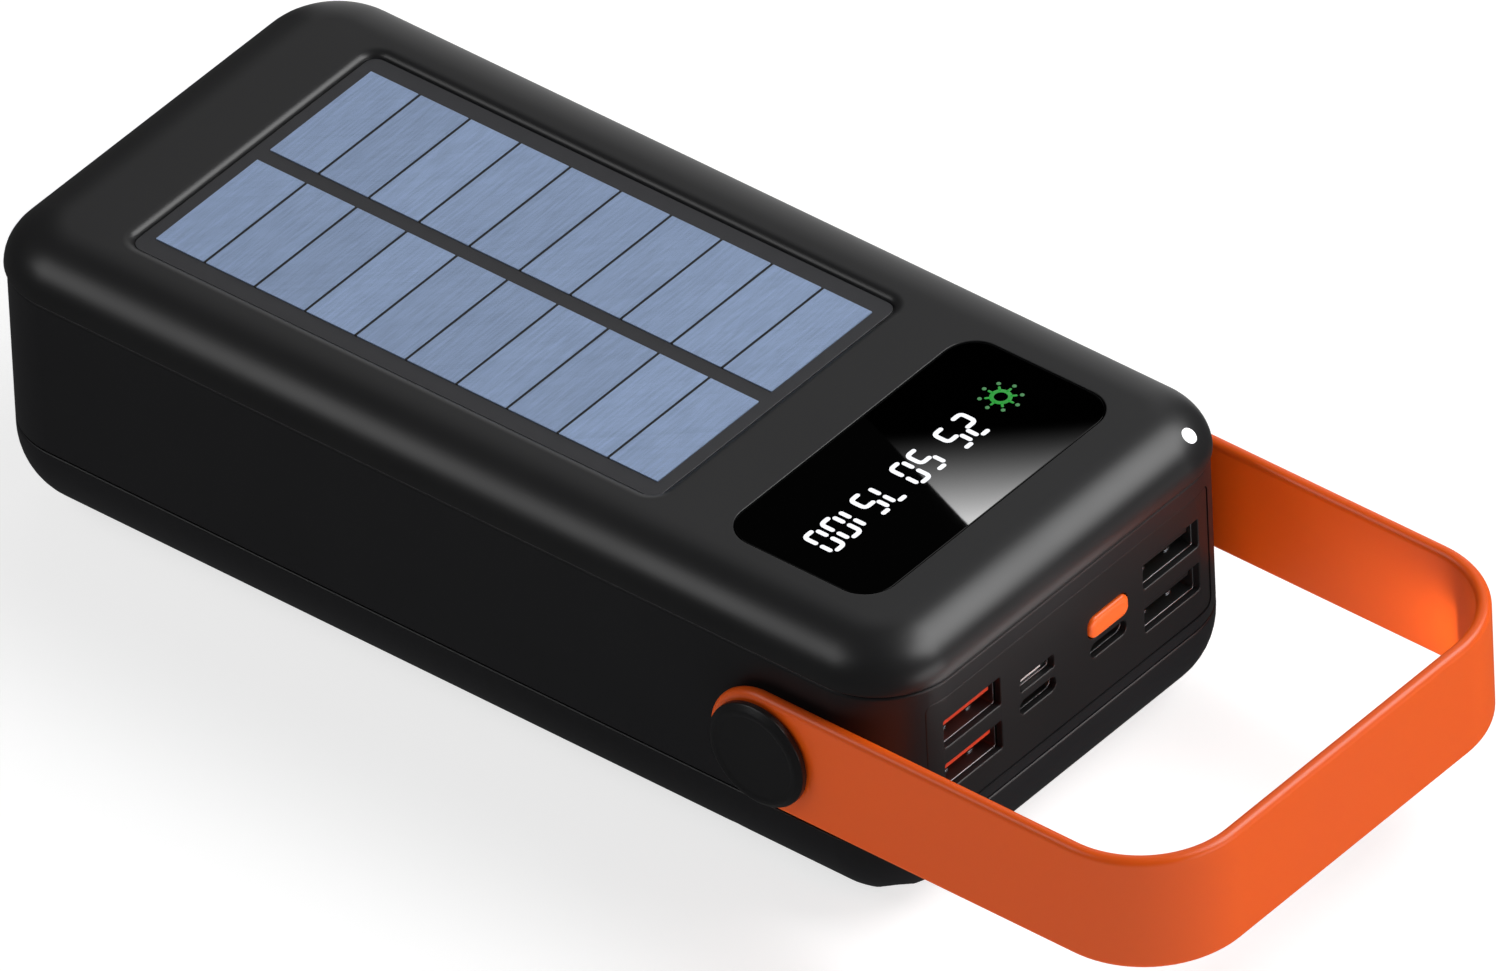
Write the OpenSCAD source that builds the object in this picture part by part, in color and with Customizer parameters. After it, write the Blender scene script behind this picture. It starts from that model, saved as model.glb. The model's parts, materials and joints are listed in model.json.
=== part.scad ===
// Solar power bank with a swinging carry handle.
// +Z is up, the origin is the middle of the flat base, and the port end faces -Y.

/* [Case] */
// Width of the lid, the widest part of the case
body_w = 85.7; // [85:0.1:88]
// Length of the lid
body_l = 183.5; // [183:0.5:190]
// Height of the case
body_h = 52.4; // [52:0.1:55]
// Corner radius of the lid in plan
corner_r = 13.9; // [13:0.1:15]
// Height of the seam under the lid
lid_seam_z = 44.6; // [44.4:0.1:45]
// Height of the seam above the base cover
base_seam_z = 15.5; // [15:0.1:16]
// How far the frame stands in from the lid all round
frame_inset = 0.44; // [0.3:0.01:0.6]
// Width of the lid's rounded edge, seen from above
lid_round_w = 10.2; // [9:0.1:11]
// Radius of the base cover's rounded edge
base_round_r = 14.3; // [13:0.1:14.5]
// Wall thickness of all three shells
wall = 2.2; // [2:0.1:2.4]

/* [Solar panel] */
// Solar cells along the panel
cells_long = 10; // [8:1:10]
// Distance from one solar cell to the next
cell_pitch = 10; // [9:0.1:10]
// Gap between solar cells in a row
cell_gap = 0.5; // [0.3:0.1:1]
// Width of one solar cell
cell_w = 24.3; // [22:0.1:24.5]
// Gap between the two rows of solar cells
row_gap = 3; // [2:0.1:3.4]
// Centre of the panel along the case
panel_y = 18; // [16:0.5:19]

/* [Display] */
// Width of the display window
window_w = 59.8; // [56:0.1:60]
// Length of the display window along the case
window_l = 29.7; // [28:0.1:31]
// Centre of the window along the case
window_y = -62.2; // [-63:0.1:-61]
// Height of a digit
digit_h = 6.8; // [5:0.1:7]

/* [Ports] */
// Distance of each pair of power sockets from the middle
usb_x = 23.9; // [23.5:0.1:24.5]
// Height of the upper power sockets
usb_top_z = 33.8; // [33.5:0.1:34]
// Height of the lower power sockets
usb_low_z = 25.4; // [25.2:0.1:25.6]
// Distance of the small sockets and the button from the middle
small_port_x = 8.5; // [8:0.1:9.5]
// Length of the power button
button_w = 9.2; // [8:0.1:10]
// Height of the power button
button_h = 3.9; // [3:0.1:4]
// How far the button stands out of the port panel
button_proud = 0.6; // [0.6:0.1:1]

/* [Handle] */
// Outside width of the handle
handle_w = 91.4; // [91.4:0.1:93]
// Distance from the pivot to the front of the handle
handle_reach = 78.4; // [76:0.1:82]
// Height of the strap
handle_h = 21; // [19:0.1:21.4]
// Thickness of the strap
handle_t = 2.5; // [2:0.1:2.5]
// Outside corner radius of the handle
handle_corner_r = 18.1; // [15:0.1:22]
// Pivot position along the case
pivot_y = -67.4; // [-68:0.1:-67]
// Pivot height
pivot_z = 29.1; // [28.5:0.1:29.5]
// Radius of the pivot caps
cap_r = 9.2; // [8.5:0.1:10]

/* [Battery] */
// Diameter of a battery cell
battery_d = 18.2; // [18:0.1:18.4]
// Length of a battery cell
battery_l = 65; // [64:0.1:65.2]

/* [Hidden] */

$fn = 48;
corner_steps = 8;
edge_steps = 6;

// Case outlines, as half sizes
lid_hx = body_w / 2;
lid_hy = body_l / 2;
frame_hx = lid_hx - frame_inset;
frame_hy = lid_hy - frame_inset;
frame_r = corner_r - frame_inset;
seam_gap = 0.3;
lid_z = lid_seam_z + seam_gap / 2;
frame_top_z = lid_seam_z - seam_gap / 2;
frame_low_z = base_seam_z + seam_gap / 2;
base_top_z = base_seam_z - seam_gap / 2;
lid_ceiling_z = body_h - 2.8;
lip_t = 1;
lip_gap = 0.2;
lip_depth = 2.6;
cavity_hx = frame_hx - wall;
cavity_hy = frame_hy - wall;
cavity_r = frame_r - wall;

// Case screws run up through the base cover and the frame into the lid
screw_spots = [
    [33.8, 83.4], [-33.8, 83.4], [34.2, -83.2], [-34.2, -83.2], [36.4, -56.2], [-36.4, -56.2]
];
screw_seat_z = 8;
screw_top_z = 47.4;
screw_r = 1.4;
screw_clear_r = 1.7;
post_r = 3;
post_clear = 0.15;
boss_r = post_r + 0.9;
post_low_z = 16.6;
post_high_z = 43.4;

// Solar panel
panel_hx = cell_w + row_gap / 2 + 3.4;
panel_hy = cells_long * cell_pitch / 2 + 2.1;
panel_gap = 0.2;
panel_bevel = 1.9;
rim_r = 4.5;
recess_z = body_h - 1.2;
solar_board_t = 0.25;
solar_cell_t = 0.2;
solar_film_t = 0.15;
lead_hole = [20, 64];

// Display
window_r = 5.5;
window_gap = 0.15;
window_top_z = body_h - 0.1;
window_t = 1.1;
digit_t = 0.05;
digit_w = 3.4;
digit_step = 4;
stroke = 0.9;
digits_y = window_y + 0.4;
readings = [[10.6, [2, 5]], [0.1, [5, 0]], [-9.4, [7, 5]], [-18.5, [1, 0, 0]]];
sun_x = 20.7;
sun_ring = [1, 1.65];
sun_dot_r = 3.3;
module_box = [[-25, -66.5], [25, -57]];
display_board_z = 46.9;
board_t = 1.6;
display_studs = [[24.5, -74], [-24.5, -74], [24.5, -51.5], [-26, -51.5]];

// Indicator lamp on the lid's rounded corner
led_angle = -70.3;
led_turn = 43.5;
led_r = 1.35;
led_plan_r = corner_r - lid_round_w * (1 - cos(led_turn));
led_pos = [
    lid_hx - corner_r + led_plan_r * cos(led_angle),
    -(lid_hy - corner_r) + led_plan_r * sin(led_angle),
    lid_z + (body_h - lid_z) * sin(led_turn)
];
led_tilt = atan2(cos(led_turn) / lid_round_w, sin(led_turn) / (body_h - lid_z));

// Port end
panel_front_y = -(frame_hy - 0.15);
panel_t = 1.2;
panel_back_y = panel_front_y + panel_t;
port_panel_hx = 34;
port_panel_z = [17.8, 41.1];
port_panel_r = 1.5;
usb_hole = [13.4, 5.35];
usb_inner = [12.5, 5.12];
usb_sheet = 0.3;
usb_depth = 13;
tongue_setback = 0.15;
shell_y = panel_back_y + 0.05;
input_board_z = 28.85;
input_board_t = 1.2;
micro_inner = [7.5, 2.2];
micro_hole = [8.1, 2.5];
micro_z = input_board_z + input_board_t + 1.45;
type_c_inner = [8.34, 2.56];
type_c_hole = [8.6, 2.7];
type_c_z = input_board_z - 1.62;
small_sheet = 0.3;
small_depth = 8;
button_z = 31.8;
button_r = 1.5;
button_gap = 0.2;
button_travel = 0.6;
main_board_z = 20.3;
main_board_top = main_board_z + board_t;
board_studs = [[14, -82], [-14, -82], [23, -64], [-23, -64]];

// Handle and pivot
bush_r = 5;
bush_clear = 0.05;
handle_hx = handle_w / 2;
handle_front_y = pivot_y - handle_reach;
cap_in_x = handle_hx + 0.3;
cap_t = 1.8;
pivot_bore_r = 1.7;
pivot_screw_r = 1.45;

// Battery pack
cells_across = 4;
cell_step_x = 19;
cell_step_z = 19;
pack_z = 24.1;
holder_r = 10.2;
holder_t = 3;
rank_y = [-52, 14.1];
strip_t = 0.3;

// ---------- outlines and lofts ----------

function arc(cx, cy, r, a0, a1, n) =
    [for (i = [0:n]) let (a = a0 + (a1 - a0) * i / n) [cx + r * cos(a), cy + r * sin(a)]];

function rounded_rect(hx, hy, r, n = corner_steps) = concat(
    arc(hx - r, hy - r, r, 0, 90, n), arc(r - hx, hy - r, r, 90, 180, n),
    arc(r - hx, r - hy, r, 180, 270, n), arc(hx - r, r - hy, r, 270, 360, n)
);

module slab(hx, hy, r, z0, z1) {
    translate([0, 0, z0]) linear_extrude(z1 - z0) polygon(rounded_rect(hx, hy, r));
}

// A plate that faces -Y, from y0 to y1
module upright(hx, hz, r, y0, y1) {
    translate([0, y1, 0]) rotate([90, 0, 0]) linear_extrude(y1 - y0) polygon(rounded_rect(hx, hz, r));
}

module block(low, high) {
    translate(low) cube(high - low);
}

// Rounded outlines stacked up: each ring is [how far it stands in, its height]
module pillow(hx, hy, r, rings) {
    n = 4 * (corner_steps + 1);
    points = [for (k = rings)
        for (p = rounded_rect(hx - k[0], hy - k[0], max(r - k[0], 0.6))) [p[0], p[1], k[1]]];
    sides = [for (k = [0:len(rings) - 2]) for (i = [0:n - 1])
        let (j = (i + 1) % n) [k * n + i, (k + 1) * n + i, (k + 1) * n + j, k * n + j]];
    low = [[for (i = [0:n - 1]) i]];
    high = [[for (i = [n - 1:-1:0]) (len(rings) - 1) * n + i]];
    polyhedron(points, concat(low, sides, high), convexity = 4);
}

function round_up(w, h, z) =
    [for (i = [0:edge_steps]) let (a = 90 * i / edge_steps) [w * (1 - cos(a)), z + h * sin(a)]];

function round_down(r, z) =
    [for (i = [edge_steps:-1:0]) let (a = 90 * i / edge_steps) [r * (1 - cos(a)), z + r * (1 - sin(a))]];

// A wire along a list of points, as a polyhedron of eight-sided rings
function unit(v) = v / norm(v);
function between(p, t) =
    let (k = min(floor(t), len(p) - 2), u = t - k,
        a = p[max(k - 1, 0)], b = p[k], c = p[k + 1], d = p[min(k + 2, len(p) - 1)])
    0.5 * (2 * b + (c - a) * u + (2 * a - 5 * b + 4 * c - d) * u * u
        + (3 * b - a - 3 * c + d) * u * u * u);
module wire(route, r, steps = 5) {
    sides = 8;
    m = (len(route) - 1) * steps;
    line = [for (i = [0:m]) between(route, i / steps)];
    points = [for (i = [0:m])
        let (t = unit(line[min(i + 1, m)] - line[max(i - 1, 0)]),
            a = unit(cross(t, [1, 0.02, 0.01])), b = cross(t, a))
        for (s = [0:sides - 1]) line[i] + r * (a * cos(s * 45) + b * sin(s * 45))];
    tube = [for (i = [0:m - 1]) for (s = [0:sides - 1])
        let (q = (s + 1) % sides)
        [i * sides + s, (i + 1) * sides + s, (i + 1) * sides + q, i * sides + q]];
    start = [[for (s = [0:sides - 1]) s]];
    end = [[for (s = [sides - 1:-1:0]) m * sides + s]];
    polyhedron(points, concat(start, tube, end), convexity = 6);
}

// ---------- shells ----------

module at_screws() {
    for (p = screw_spots) translate([p[0], p[1], 0]) children();
}

module top_cover() color("#2b2b2d") difference() {
    union() {
        difference() {
            pillow(lid_hx, lid_hy, corner_r, round_up(lid_round_w, body_h - lid_z, lid_z));
            pillow(lid_hx - wall, lid_hy - wall, corner_r - wall,
                concat([[0, lid_z - 1]], round_up(lid_round_w - 2, lid_ceiling_z - lid_z, lid_z)));
        }
        lip(lid_z - lip_depth, lid_z, lip_t);
        lip(lid_z, lid_z + 1.2, lip_t, 1.6);
        at_screws() translate([0, 0, post_high_z + 0.1])
            cylinder(r = post_r, h = lid_ceiling_z + 0.4 - post_high_z);
        for (p = display_studs) translate([p[0], p[1], display_board_z + board_t])
            cylinder(r = 1.8, h = 2);
    }
    translate([0, panel_y, 0])
        pillow(panel_hx + panel_gap + panel_bevel, panel_hy + panel_gap + panel_bevel, rim_r,
            [[panel_bevel, recess_z], [0, body_h], [0, body_h + 1]]);
    translate([0, window_y, 0])
        slab(window_w / 2 + window_gap, window_l / 2 + window_gap, window_r + window_gap,
            window_top_z - window_t - 0.05, body_h + 1);
    block([module_box[0][0] - 0.4, module_box[0][1] - 0.4, lid_ceiling_z - 1],
        [module_box[1][0] + 0.4, module_box[1][1] + 0.4, body_h]);
    translate([lead_hole[0], lead_hole[1], lid_ceiling_z - 1]) cylinder(r = 2, h = 4);
    at_screws() translate([0, 0, post_high_z]) cylinder(r = 1.45, h = 4.6);
    at_screws() translate([0, 0, post_high_z - lip_depth]) cylinder(r = post_r + post_clear, h = lip_depth);
    for (p = display_studs) translate([p[0], p[1], display_board_z + board_t - 1])
        cylinder(r = 0.85, h = 3.6);
    translate(led_pos) rotate([0, led_tilt, led_angle]) translate([0, 0, -5])
        cylinder(r = led_r + 0.05, h = 7);
}

// A lip that keys one shell into the next; grow widens it outwards into the wall
module lip(z0, z1, t, grow = 0) {
    difference() {
        slab(cavity_hx - lip_gap + grow, cavity_hy - lip_gap + grow, cavity_r - lip_gap + grow, z0, z1);
        slab(cavity_hx - lip_gap - t, cavity_hy - lip_gap - t, cavity_r - lip_gap - t, z0 - 1, z1 + 1);
    }
}

module mid_frame() color("#202022") difference() {
    union() {
        difference() {
            slab(frame_hx, frame_hy, frame_r, frame_low_z, frame_top_z);
            slab(cavity_hx, cavity_hy, cavity_r, frame_low_z - 1, frame_top_z + 1);
        }
        at_screws() translate([0, 0, post_low_z + 0.1])
            cylinder(r = post_r, h = post_high_z - post_low_z - 0.2);
        // Ribs that tie the screw posts to the wall
        for (p = screw_spots) let (s = sign(p[0]))
            block([s > 0 ? p[0] + 2.2 : -cavity_hx - 0.5, p[1] - 1, base_seam_z + 4],
                [s > 0 ? cavity_hx + 0.5 : p[0] - 2.2, p[1] + 1, lid_seam_z - 4]);
    }
    end_plate(0, -1, frame_hy + panel_back_y);
    end_plate(2.2, -1, wall + 1);
    at_screws() cylinder(r = screw_clear_r, h = body_h);
    for (side = [-1, 1]) on_pivot(side) cylinder(r = pivot_bore_r, h = frame_hx + 1);
}

// A plate in the port end that follows the frame's outline, between two depths below its surface
module end_plate(inset, depth0, depth1) {
    intersection() {
        difference() {
            slab(frame_hx - depth0, frame_hy - depth0, frame_r - depth0, 0, body_h);
            slab(frame_hx - depth1, frame_hy - depth1, frame_r - depth1, -1, body_h + 1);
        }
        translate([0, 0, (port_panel_z[0] + port_panel_z[1]) / 2])
            upright(port_panel_hx - inset, (port_panel_z[1] - port_panel_z[0]) / 2 - inset,
                max(port_panel_r - inset, 0.5), -frame_hy - 1, -frame_hy + frame_r);
    }
}

module bottom_cover() color("#222224") difference() {
    union() {
        difference() {
            pillow(frame_hx, frame_hy, frame_r,
                concat(round_down(base_round_r, 0), [[0, base_top_z]]));
            pillow(cavity_hx, cavity_hy, cavity_r,
                concat(round_down(base_round_r - wall, wall), [[0, base_top_z + 1]]));
        }
        lip(base_top_z, base_top_z + lip_depth, lip_t);
        lip(base_top_z - 1.2, base_top_z, lip_t, 1);
        intersection() {
            union() {
                at_screws() cylinder(r = boss_r, h = post_low_z);
                for (p = board_studs) translate([p[0], p[1], 0]) cylinder(r = 2.4, h = main_board_z);
            }
            pillow(cavity_hx - lip_gap, cavity_hy - lip_gap, cavity_r - lip_gap,
                concat(round_down(base_round_r, 0), [[0, main_board_z]]));
        }
    }
    at_screws() translate([0, 0, -1]) cylinder(r = 2.9, h = screw_seat_z + 1);
    at_screws() cylinder(r = screw_clear_r, h = body_h);
    at_screws() translate([0, 0, post_low_z]) cylinder(r = post_r + post_clear, h = lip_depth);
    for (p = board_studs) translate([p[0], p[1], main_board_z - 6]) cylinder(r = 0.85, h = 7);
}

module seal(z) {
    difference() {
        slab(frame_hx - 0.7, frame_hy - 0.7, frame_r - 0.7, z - seam_gap / 2, z + seam_gap / 2);
        slab(cavity_hx + 0.1, cavity_hy + 0.1, cavity_r + 0.1, z - 1, z + 1);
    }
}

module lid_gasket() color("#0d0d0e") seal(lid_seam_z);

module base_gasket() color("#0d0d0e") seal(base_seam_z);

module port_panel() color("#262628") difference() {
    end_plate(0.12, frame_hy + panel_front_y, frame_hy + panel_back_y - 0.02);
    at_usb() port_hole(usb_hole, 0.4);
    translate([-small_port_x, 0, micro_z]) port_hole(micro_hole, 0.5);
    at_type_c() port_hole(type_c_hole, 1.2);
    at_button() port_hole([button_w + 2 * button_gap, button_h + 2 * button_gap],
        button_r + button_gap);
}

module port_hole(size, r) {
    upright(size[0] / 2, size[1] / 2, r, panel_front_y - 1, panel_back_y + 1);
}

module at_usb() {
    for (x = [-usb_x, usb_x], z = [usb_low_z, usb_top_z]) translate([x, 0, z]) children();
}

module at_type_c() {
    for (x = [-small_port_x, small_port_x]) translate([x, 0, type_c_z]) children();
}

module at_button() {
    translate([small_port_x, 0, button_z]) children();
}

// ---------- solar panel ----------

module solar_layer(hx, hy, z0, t) {
    translate([0, panel_y, 0]) slab(hx, hy, 2, z0, z0 + t);
}

module solar_board() color("#3d3b38") difference() {
    solar_layer(panel_hx, panel_hy, recess_z, solar_board_t);
    for (x = [-1, 1]) translate([lead_hole[0] + x, lead_hole[1], recess_z - 1]) cylinder(r = 0.5, h = 2);
}

module solar_cells() color("#8093b5")
    for (row = [-1, 1], k = [0:cells_long - 1])
        translate([row * (cell_w + row_gap) / 2, panel_y + (k - (cells_long - 1) / 2) * cell_pitch,
            recess_z + solar_board_t + solar_cell_t / 2])
            cube([cell_w, cell_pitch - cell_gap, solar_cell_t], center = true);

module solar_film() color("#c8d4e8", 0.3)
    solar_layer(panel_hx, panel_hy, recess_z + solar_board_t + solar_cell_t, solar_film_t);

// ---------- display ----------

module display_window() color("#0a0a0b") translate([0, window_y, 0])
    slab(window_w / 2, window_l / 2, window_r, window_top_z - window_t, window_top_z);

// Segments of a digit, from the top clockwise, then the middle one
lit = [
    [0, 1, 2, 3, 4, 5], [1, 2], [0, 1, 6, 4, 3], [], [],
    [0, 5, 6, 2, 3], [], [0, 1, 2], [], []
];

function bar(length, w) = [
    [-length / 2, 0], [-(length - w) / 2, w / 2], [(length - w) / 2, w / 2],
    [length / 2, 0], [(length - w) / 2, -w / 2], [-(length - w) / 2, -w / 2]
];

module segment(k) {
    half = digit_h / 4 - stroke / 4;
    side = digit_w / 2 - stroke / 2;
    spots = [[0, 2 * half, 0], [side, half, 90], [side, -half, 90], [0, -2 * half, 0],
        [-side, -half, 90], [-side, half, 90], [0, 0, 0]];
    upright_bar = spots[k][2] == 90;
    translate([spots[k][0], spots[k][1], 0]) rotate([0, 0, spots[k][2]])
        linear_extrude(digit_t) polygon(bar((upright_bar ? 2 * half : 2 * side) - 0.12, stroke));
}

module display_digits() color("white")
    for (reading = readings) translate([reading[0], digits_y, window_top_z]) rotate([0, 0, 180])
        for (i = [0:len(reading[1]) - 1])
            translate([(i - (len(reading[1]) - 1) / 2) * digit_step, 0, 0])
                for (k = lit[reading[1][i]]) segment(k);

module sun_icon() color("#37d65a") translate([sun_x, digits_y + 0.6, window_top_z]) {
    difference() {
        cylinder(r = sun_ring[1], h = digit_t);
        translate([0, 0, -1]) cylinder(r = sun_ring[0], h = 2);
    }
    for (a = [0:45:315]) rotate([0, 0, a]) {
        translate([2.3, 0, 0]) linear_extrude(digit_t) polygon(bar(0.9, 0.35));
        translate([sun_dot_r, 0, 0]) cylinder(r = 0.35, h = digit_t);
    }
}

module digit_module() color("#d9d9d6")
    block([module_box[0][0], module_box[0][1], display_board_z + board_t],
        [module_box[1][0], module_box[1][1], window_top_z - window_t - 0.1]);

module display_board() color("#1d5a3a") difference() {
    block([-27, -76, display_board_z], [27, -49, display_board_z + board_t]);
    for (p = display_studs) translate([p[0], p[1], display_board_z - 1]) cylinder(r = 1.1, h = 4);
}

module display_ribbon() color("#b98a4a")
    block([-6, -72.2, main_board_top], [6, -71.9, display_board_z]);

module status_led() color("white") translate(led_pos) rotate([0, led_tilt, led_angle]) {
    translate([0, 0, -4]) cylinder(r = led_r, h = 4.05);
}

// ---------- button ----------

module power_button() color("#ff6e28") at_button() {
    upright(button_w / 2, button_h / 2, button_r, panel_front_y - button_proud, panel_back_y + 0.5);
    upright(button_w / 2 + 1, button_h / 2 - 0.3, button_r, panel_back_y + 0.3, panel_back_y + 1.3);
    upright(1.2, 1.2, 0.3, panel_back_y + 1.3, panel_back_y + 3.2);
}

module tact_switch() color("#3a3a3e") translate([small_port_x, panel_back_y + 3.2 + button_travel + 0.2, 0]) {
    block([-1.6, 0, button_z - 0.8], [1.6, 0.8, button_z + 0.8]);
    block([-3, 0.8, input_board_z + input_board_t], [3, 4.3, button_z + 1.6]);
}

// ---------- sockets ----------

module sheet_tube(inner, sheet, r, depth) {
    difference() {
        upright(inner[0] / 2 + sheet, inner[1] / 2 + sheet, r + sheet, shell_y, shell_y + depth);
        upright(inner[0] / 2, inner[1] / 2, r, shell_y - 1, shell_y + depth + 1);
    }
}

module usb_shells() color("#b9bcc0") at_usb() sheet_tube(usb_inner, usb_sheet, 0.3, usb_depth);

// The insulator fills the back of the shell and carries the tongue
module usb_tongue() {
    block([-usb_inner[0] / 2 + 0.05, shell_y + usb_depth - 2.5, -usb_inner[1] / 2 + 0.05],
        [usb_inner[0] / 2 - 0.05, shell_y + usb_depth + 1.5, usb_inner[1] / 2 - 0.05]);
    block([-5.55, shell_y + tongue_setback, 0.3], [5.55, shell_y + usb_depth - 2.4, 2.14]);
}

module usb_tongues_fast() color("#e04a1c")
    for (z = [usb_low_z, usb_top_z]) translate([-usb_x, 0, z]) usb_tongue();

module usb_tongues_standard() color("#161617")
    for (z = [usb_low_z, usb_top_z]) translate([usb_x, 0, z]) usb_tongue();

module micro_usb_shell() color("#b9bcc0") translate([-small_port_x, 0, micro_z])
    sheet_tube(micro_inner, small_sheet, 0.4, small_depth);

module micro_usb_tongue() color("#f2f2f0") translate([-small_port_x, 0, micro_z]) {
    block([-3.6, shell_y + small_depth - 2, -0.95], [3.6, shell_y + small_depth + 0.8, 0.95]);
    block([-2.4, shell_y + tongue_setback, -0.75], [2.4, shell_y + small_depth - 1.9, -0.15]);
}

module type_c_shells() color("#b9bcc0") at_type_c()
    sheet_tube(type_c_inner, small_sheet, 1.2, small_depth);

module type_c_tongues() color("#19191a") at_type_c() {
    upright(4.1, 1.2, 1.1, shell_y + small_depth - 2, shell_y + small_depth + 0.8);
    block([-3.3, shell_y + 0.8, -0.35], [3.3, shell_y + small_depth - 1.9, 0.35]);
}

// ---------- boards ----------

module input_board() color("#1d5a3a") difference() {
    block([-15, -88.6, input_board_z], [16, -76, input_board_z + input_board_t]);
    at_pins() cylinder(r = 0.45, h = 4, center = true);
}

module at_pins() {
    for (k = [-5:5]) translate([k * 2, -77.2, input_board_z]) children();
}

module header_pins() color("#c8a04a") at_pins()
    translate([0, 0, main_board_top - input_board_z])
        cylinder(r = 0.4, h = input_board_z + input_board_t - main_board_top);

module main_board() color("#1d5a3a") difference() {
    union() {
        block([-30.6, -88.2, main_board_z], [30.6, -60, main_board_top]);
        block([-37.5, -79, main_board_z], [37.5, -60.4, main_board_top]);
    }
    for (p = board_studs) translate([p[0], p[1], main_board_z - 1]) cylinder(r = 1.1, h = 4);
}

module inductors() color("#55565a") for (x = [-33, -12, 12, 33])
    translate([x, -67, main_board_top]) {
        block([-3.4, -3.4, 0], [3.4, 3.4, 1]);
        translate([0, 0, 1]) cylinder(r = 3.1, h = 2.6);
    }

module control_chips() color("#151517") {
    for (x = [-4, 4]) block([x - 2.5, -69.5, main_board_top], [x + 2.5, -64.5, main_board_top + 1]);
    block([-3, -63, main_board_top], [3, -60.8, main_board_top + 0.9]);
}

module capacitors() color("#8c8f96") for (x = [-27, -18, 18, 27])
    translate([x, -71, main_board_top]) cylinder(r = 1.9, h = 7);

// ---------- battery ----------

module at_cells() {
    for (i = [0:cells_across - 1], k = [-1, 1])
        translate([(i - (cells_across - 1) / 2) * cell_step_x, 0, pack_z + k * cell_step_z / 2]) children();
}

module battery_cells() color("#3f7fb8") for (y = rank_y) translate([0, y, 0]) at_cells()
    rotate([-90, 0, 0]) {
        cylinder(d = battery_d, h = battery_l);
    }

module cell_holders() color("#2f3136") for (y = rank_y, end = [1, battery_l - holder_t - 1])
    difference() {
        translate([0, y + end, pack_z])
            upright((cells_across - 1) * cell_step_x / 2 + holder_r, cell_step_z / 2 + holder_r,
                holder_r, 0, holder_t);
        translate([0, y + end - 1, 0]) at_cells() rotate([-90, 0, 0])
            cylinder(d = battery_d + 0.1, h = holder_t + 2);
    }

module nickel_strips() color("#c9c9c4")
    for (y = [rank_y[0] - strip_t, rank_y[0] + battery_l, rank_y[1] - strip_t, rank_y[1] + battery_l]) {
        for (k = [-1, 1]) translate([0, 0, pack_z + k * cell_step_z / 2])
            block([-32, y, -4], [32, y + strip_t, 4]);
        for (i = [0:cells_across - 1]) translate([(i - (cells_across - 1) / 2) * cell_step_x, 0, pack_z])
            block([-3, y, -cell_step_z / 2], [3, y + strip_t, cell_step_z / 2]);
    }

// ---------- wiring and liners ----------

function battery_route(x) = [[x, -52.7, 33], [x, -55.5, 32], [x, -57.6, 28], [x, -59, 24], [x, -61.5, 23.1]];

module battery_lead_positive() color("#b3261e") wire(battery_route(-20), 1.1);

module battery_lead_negative() color("#1b1b1c") wire(battery_route(20), 1.1);

module solar_leads() color("#b3261e") for (s = [-1, 1])
    wire([[lead_hole[0] + s, lead_hole[1], recess_z - 0.1], [lead_hole[0] + s, lead_hole[1] - 1, 48.6],
        [24 + s * 1.2, 54, 47], [29.8 + s * 1.2, 34, 47], [29.8 + s * 1.2, 0, 47],
        [29.8 + s * 1.2, -38, 47], [29.8 + s * 1.2, -54, 45], [29.8 + s * 1.2, -58, 36],
        [29.8 + s * 1.2, -60.5, 24.5], [29.8 + s * 1.2, -61.4, 22.2]], 0.6);

module insulation_sheet() color("#d8d2c0") translate([0, 14.1, 0]) slab(34, 66, 4, 44.3, 44.6);

module foam_pad() color("#4a4a4c") translate([0, 14.1, 0]) slab(24, 58, 3, wall, pack_z - 20.1);

// ---------- handle and pivots ----------

// Turns +Z to point out of the case on the pivot line
module on_pivot(side) {
    translate([0, pivot_y, pivot_z]) rotate([0, side * 90, 0]) children();
}

module ring(r_out, r_in, x0, x1) {
    translate([0, 0, x0]) difference() {
        cylinder(r = r_out, h = x1 - x0);
        translate([0, 0, -1]) cylinder(r = r_in, h = x1 - x0 + 2);
    }
}

// The strap seen from above: a U whose arms end behind the pivot
function u_shape(hx, front, r) = concat(
    [[hx, pivot_y + handle_h]], [for (p = arc(hx - r, front + r, r, 0, -90, 12)) p],
    [for (p = arc(r - hx, front + r, r, -90, -180, 12)) p], [[-hx, pivot_y + handle_h]]
);

// The strap seen from the side: straight, with a round end about the pivot
function side_shape() = concat(
    arc(pivot_y, pivot_z, handle_h / 2, 90, -90, 24),
    [[handle_front_y - 1, pivot_z - handle_h / 2], [handle_front_y - 1, pivot_z + handle_h / 2]]
);

module handle() color("#e8642a") difference() {
    intersection() {
        linear_extrude(body_h) difference() {
            polygon(u_shape(handle_hx, handle_front_y, handle_corner_r));
            polygon(u_shape(handle_hx - handle_t, handle_front_y + handle_t,
                handle_corner_r - handle_t));
        }
        rotate([90, 0, 90]) translate([0, 0, -body_w]) linear_extrude(2 * body_w) polygon(side_shape());
    }
    for (side = [-1, 1]) on_pivot(side) translate([0, 0, frame_hx]) cylinder(r = bush_r + bush_clear, h = 9);
}

module pivot_bush(side) {
    on_pivot(side) ring(bush_r, pivot_bore_r, frame_hx, cap_in_x);
}

module pivot_bush_left() color("#c0c2c5") pivot_bush(-1);

module pivot_bush_right() color("#c0c2c5") pivot_bush(1);

module pivot_washer(side) {
    on_pivot(side) ring(8.5, bush_r + 0.1, frame_hx, handle_hx - handle_t - 0.1);
}

module pivot_washer_left() color("#e9e6dc") pivot_washer(-1);

module pivot_washer_right() color("#e9e6dc") pivot_washer(1);

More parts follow.
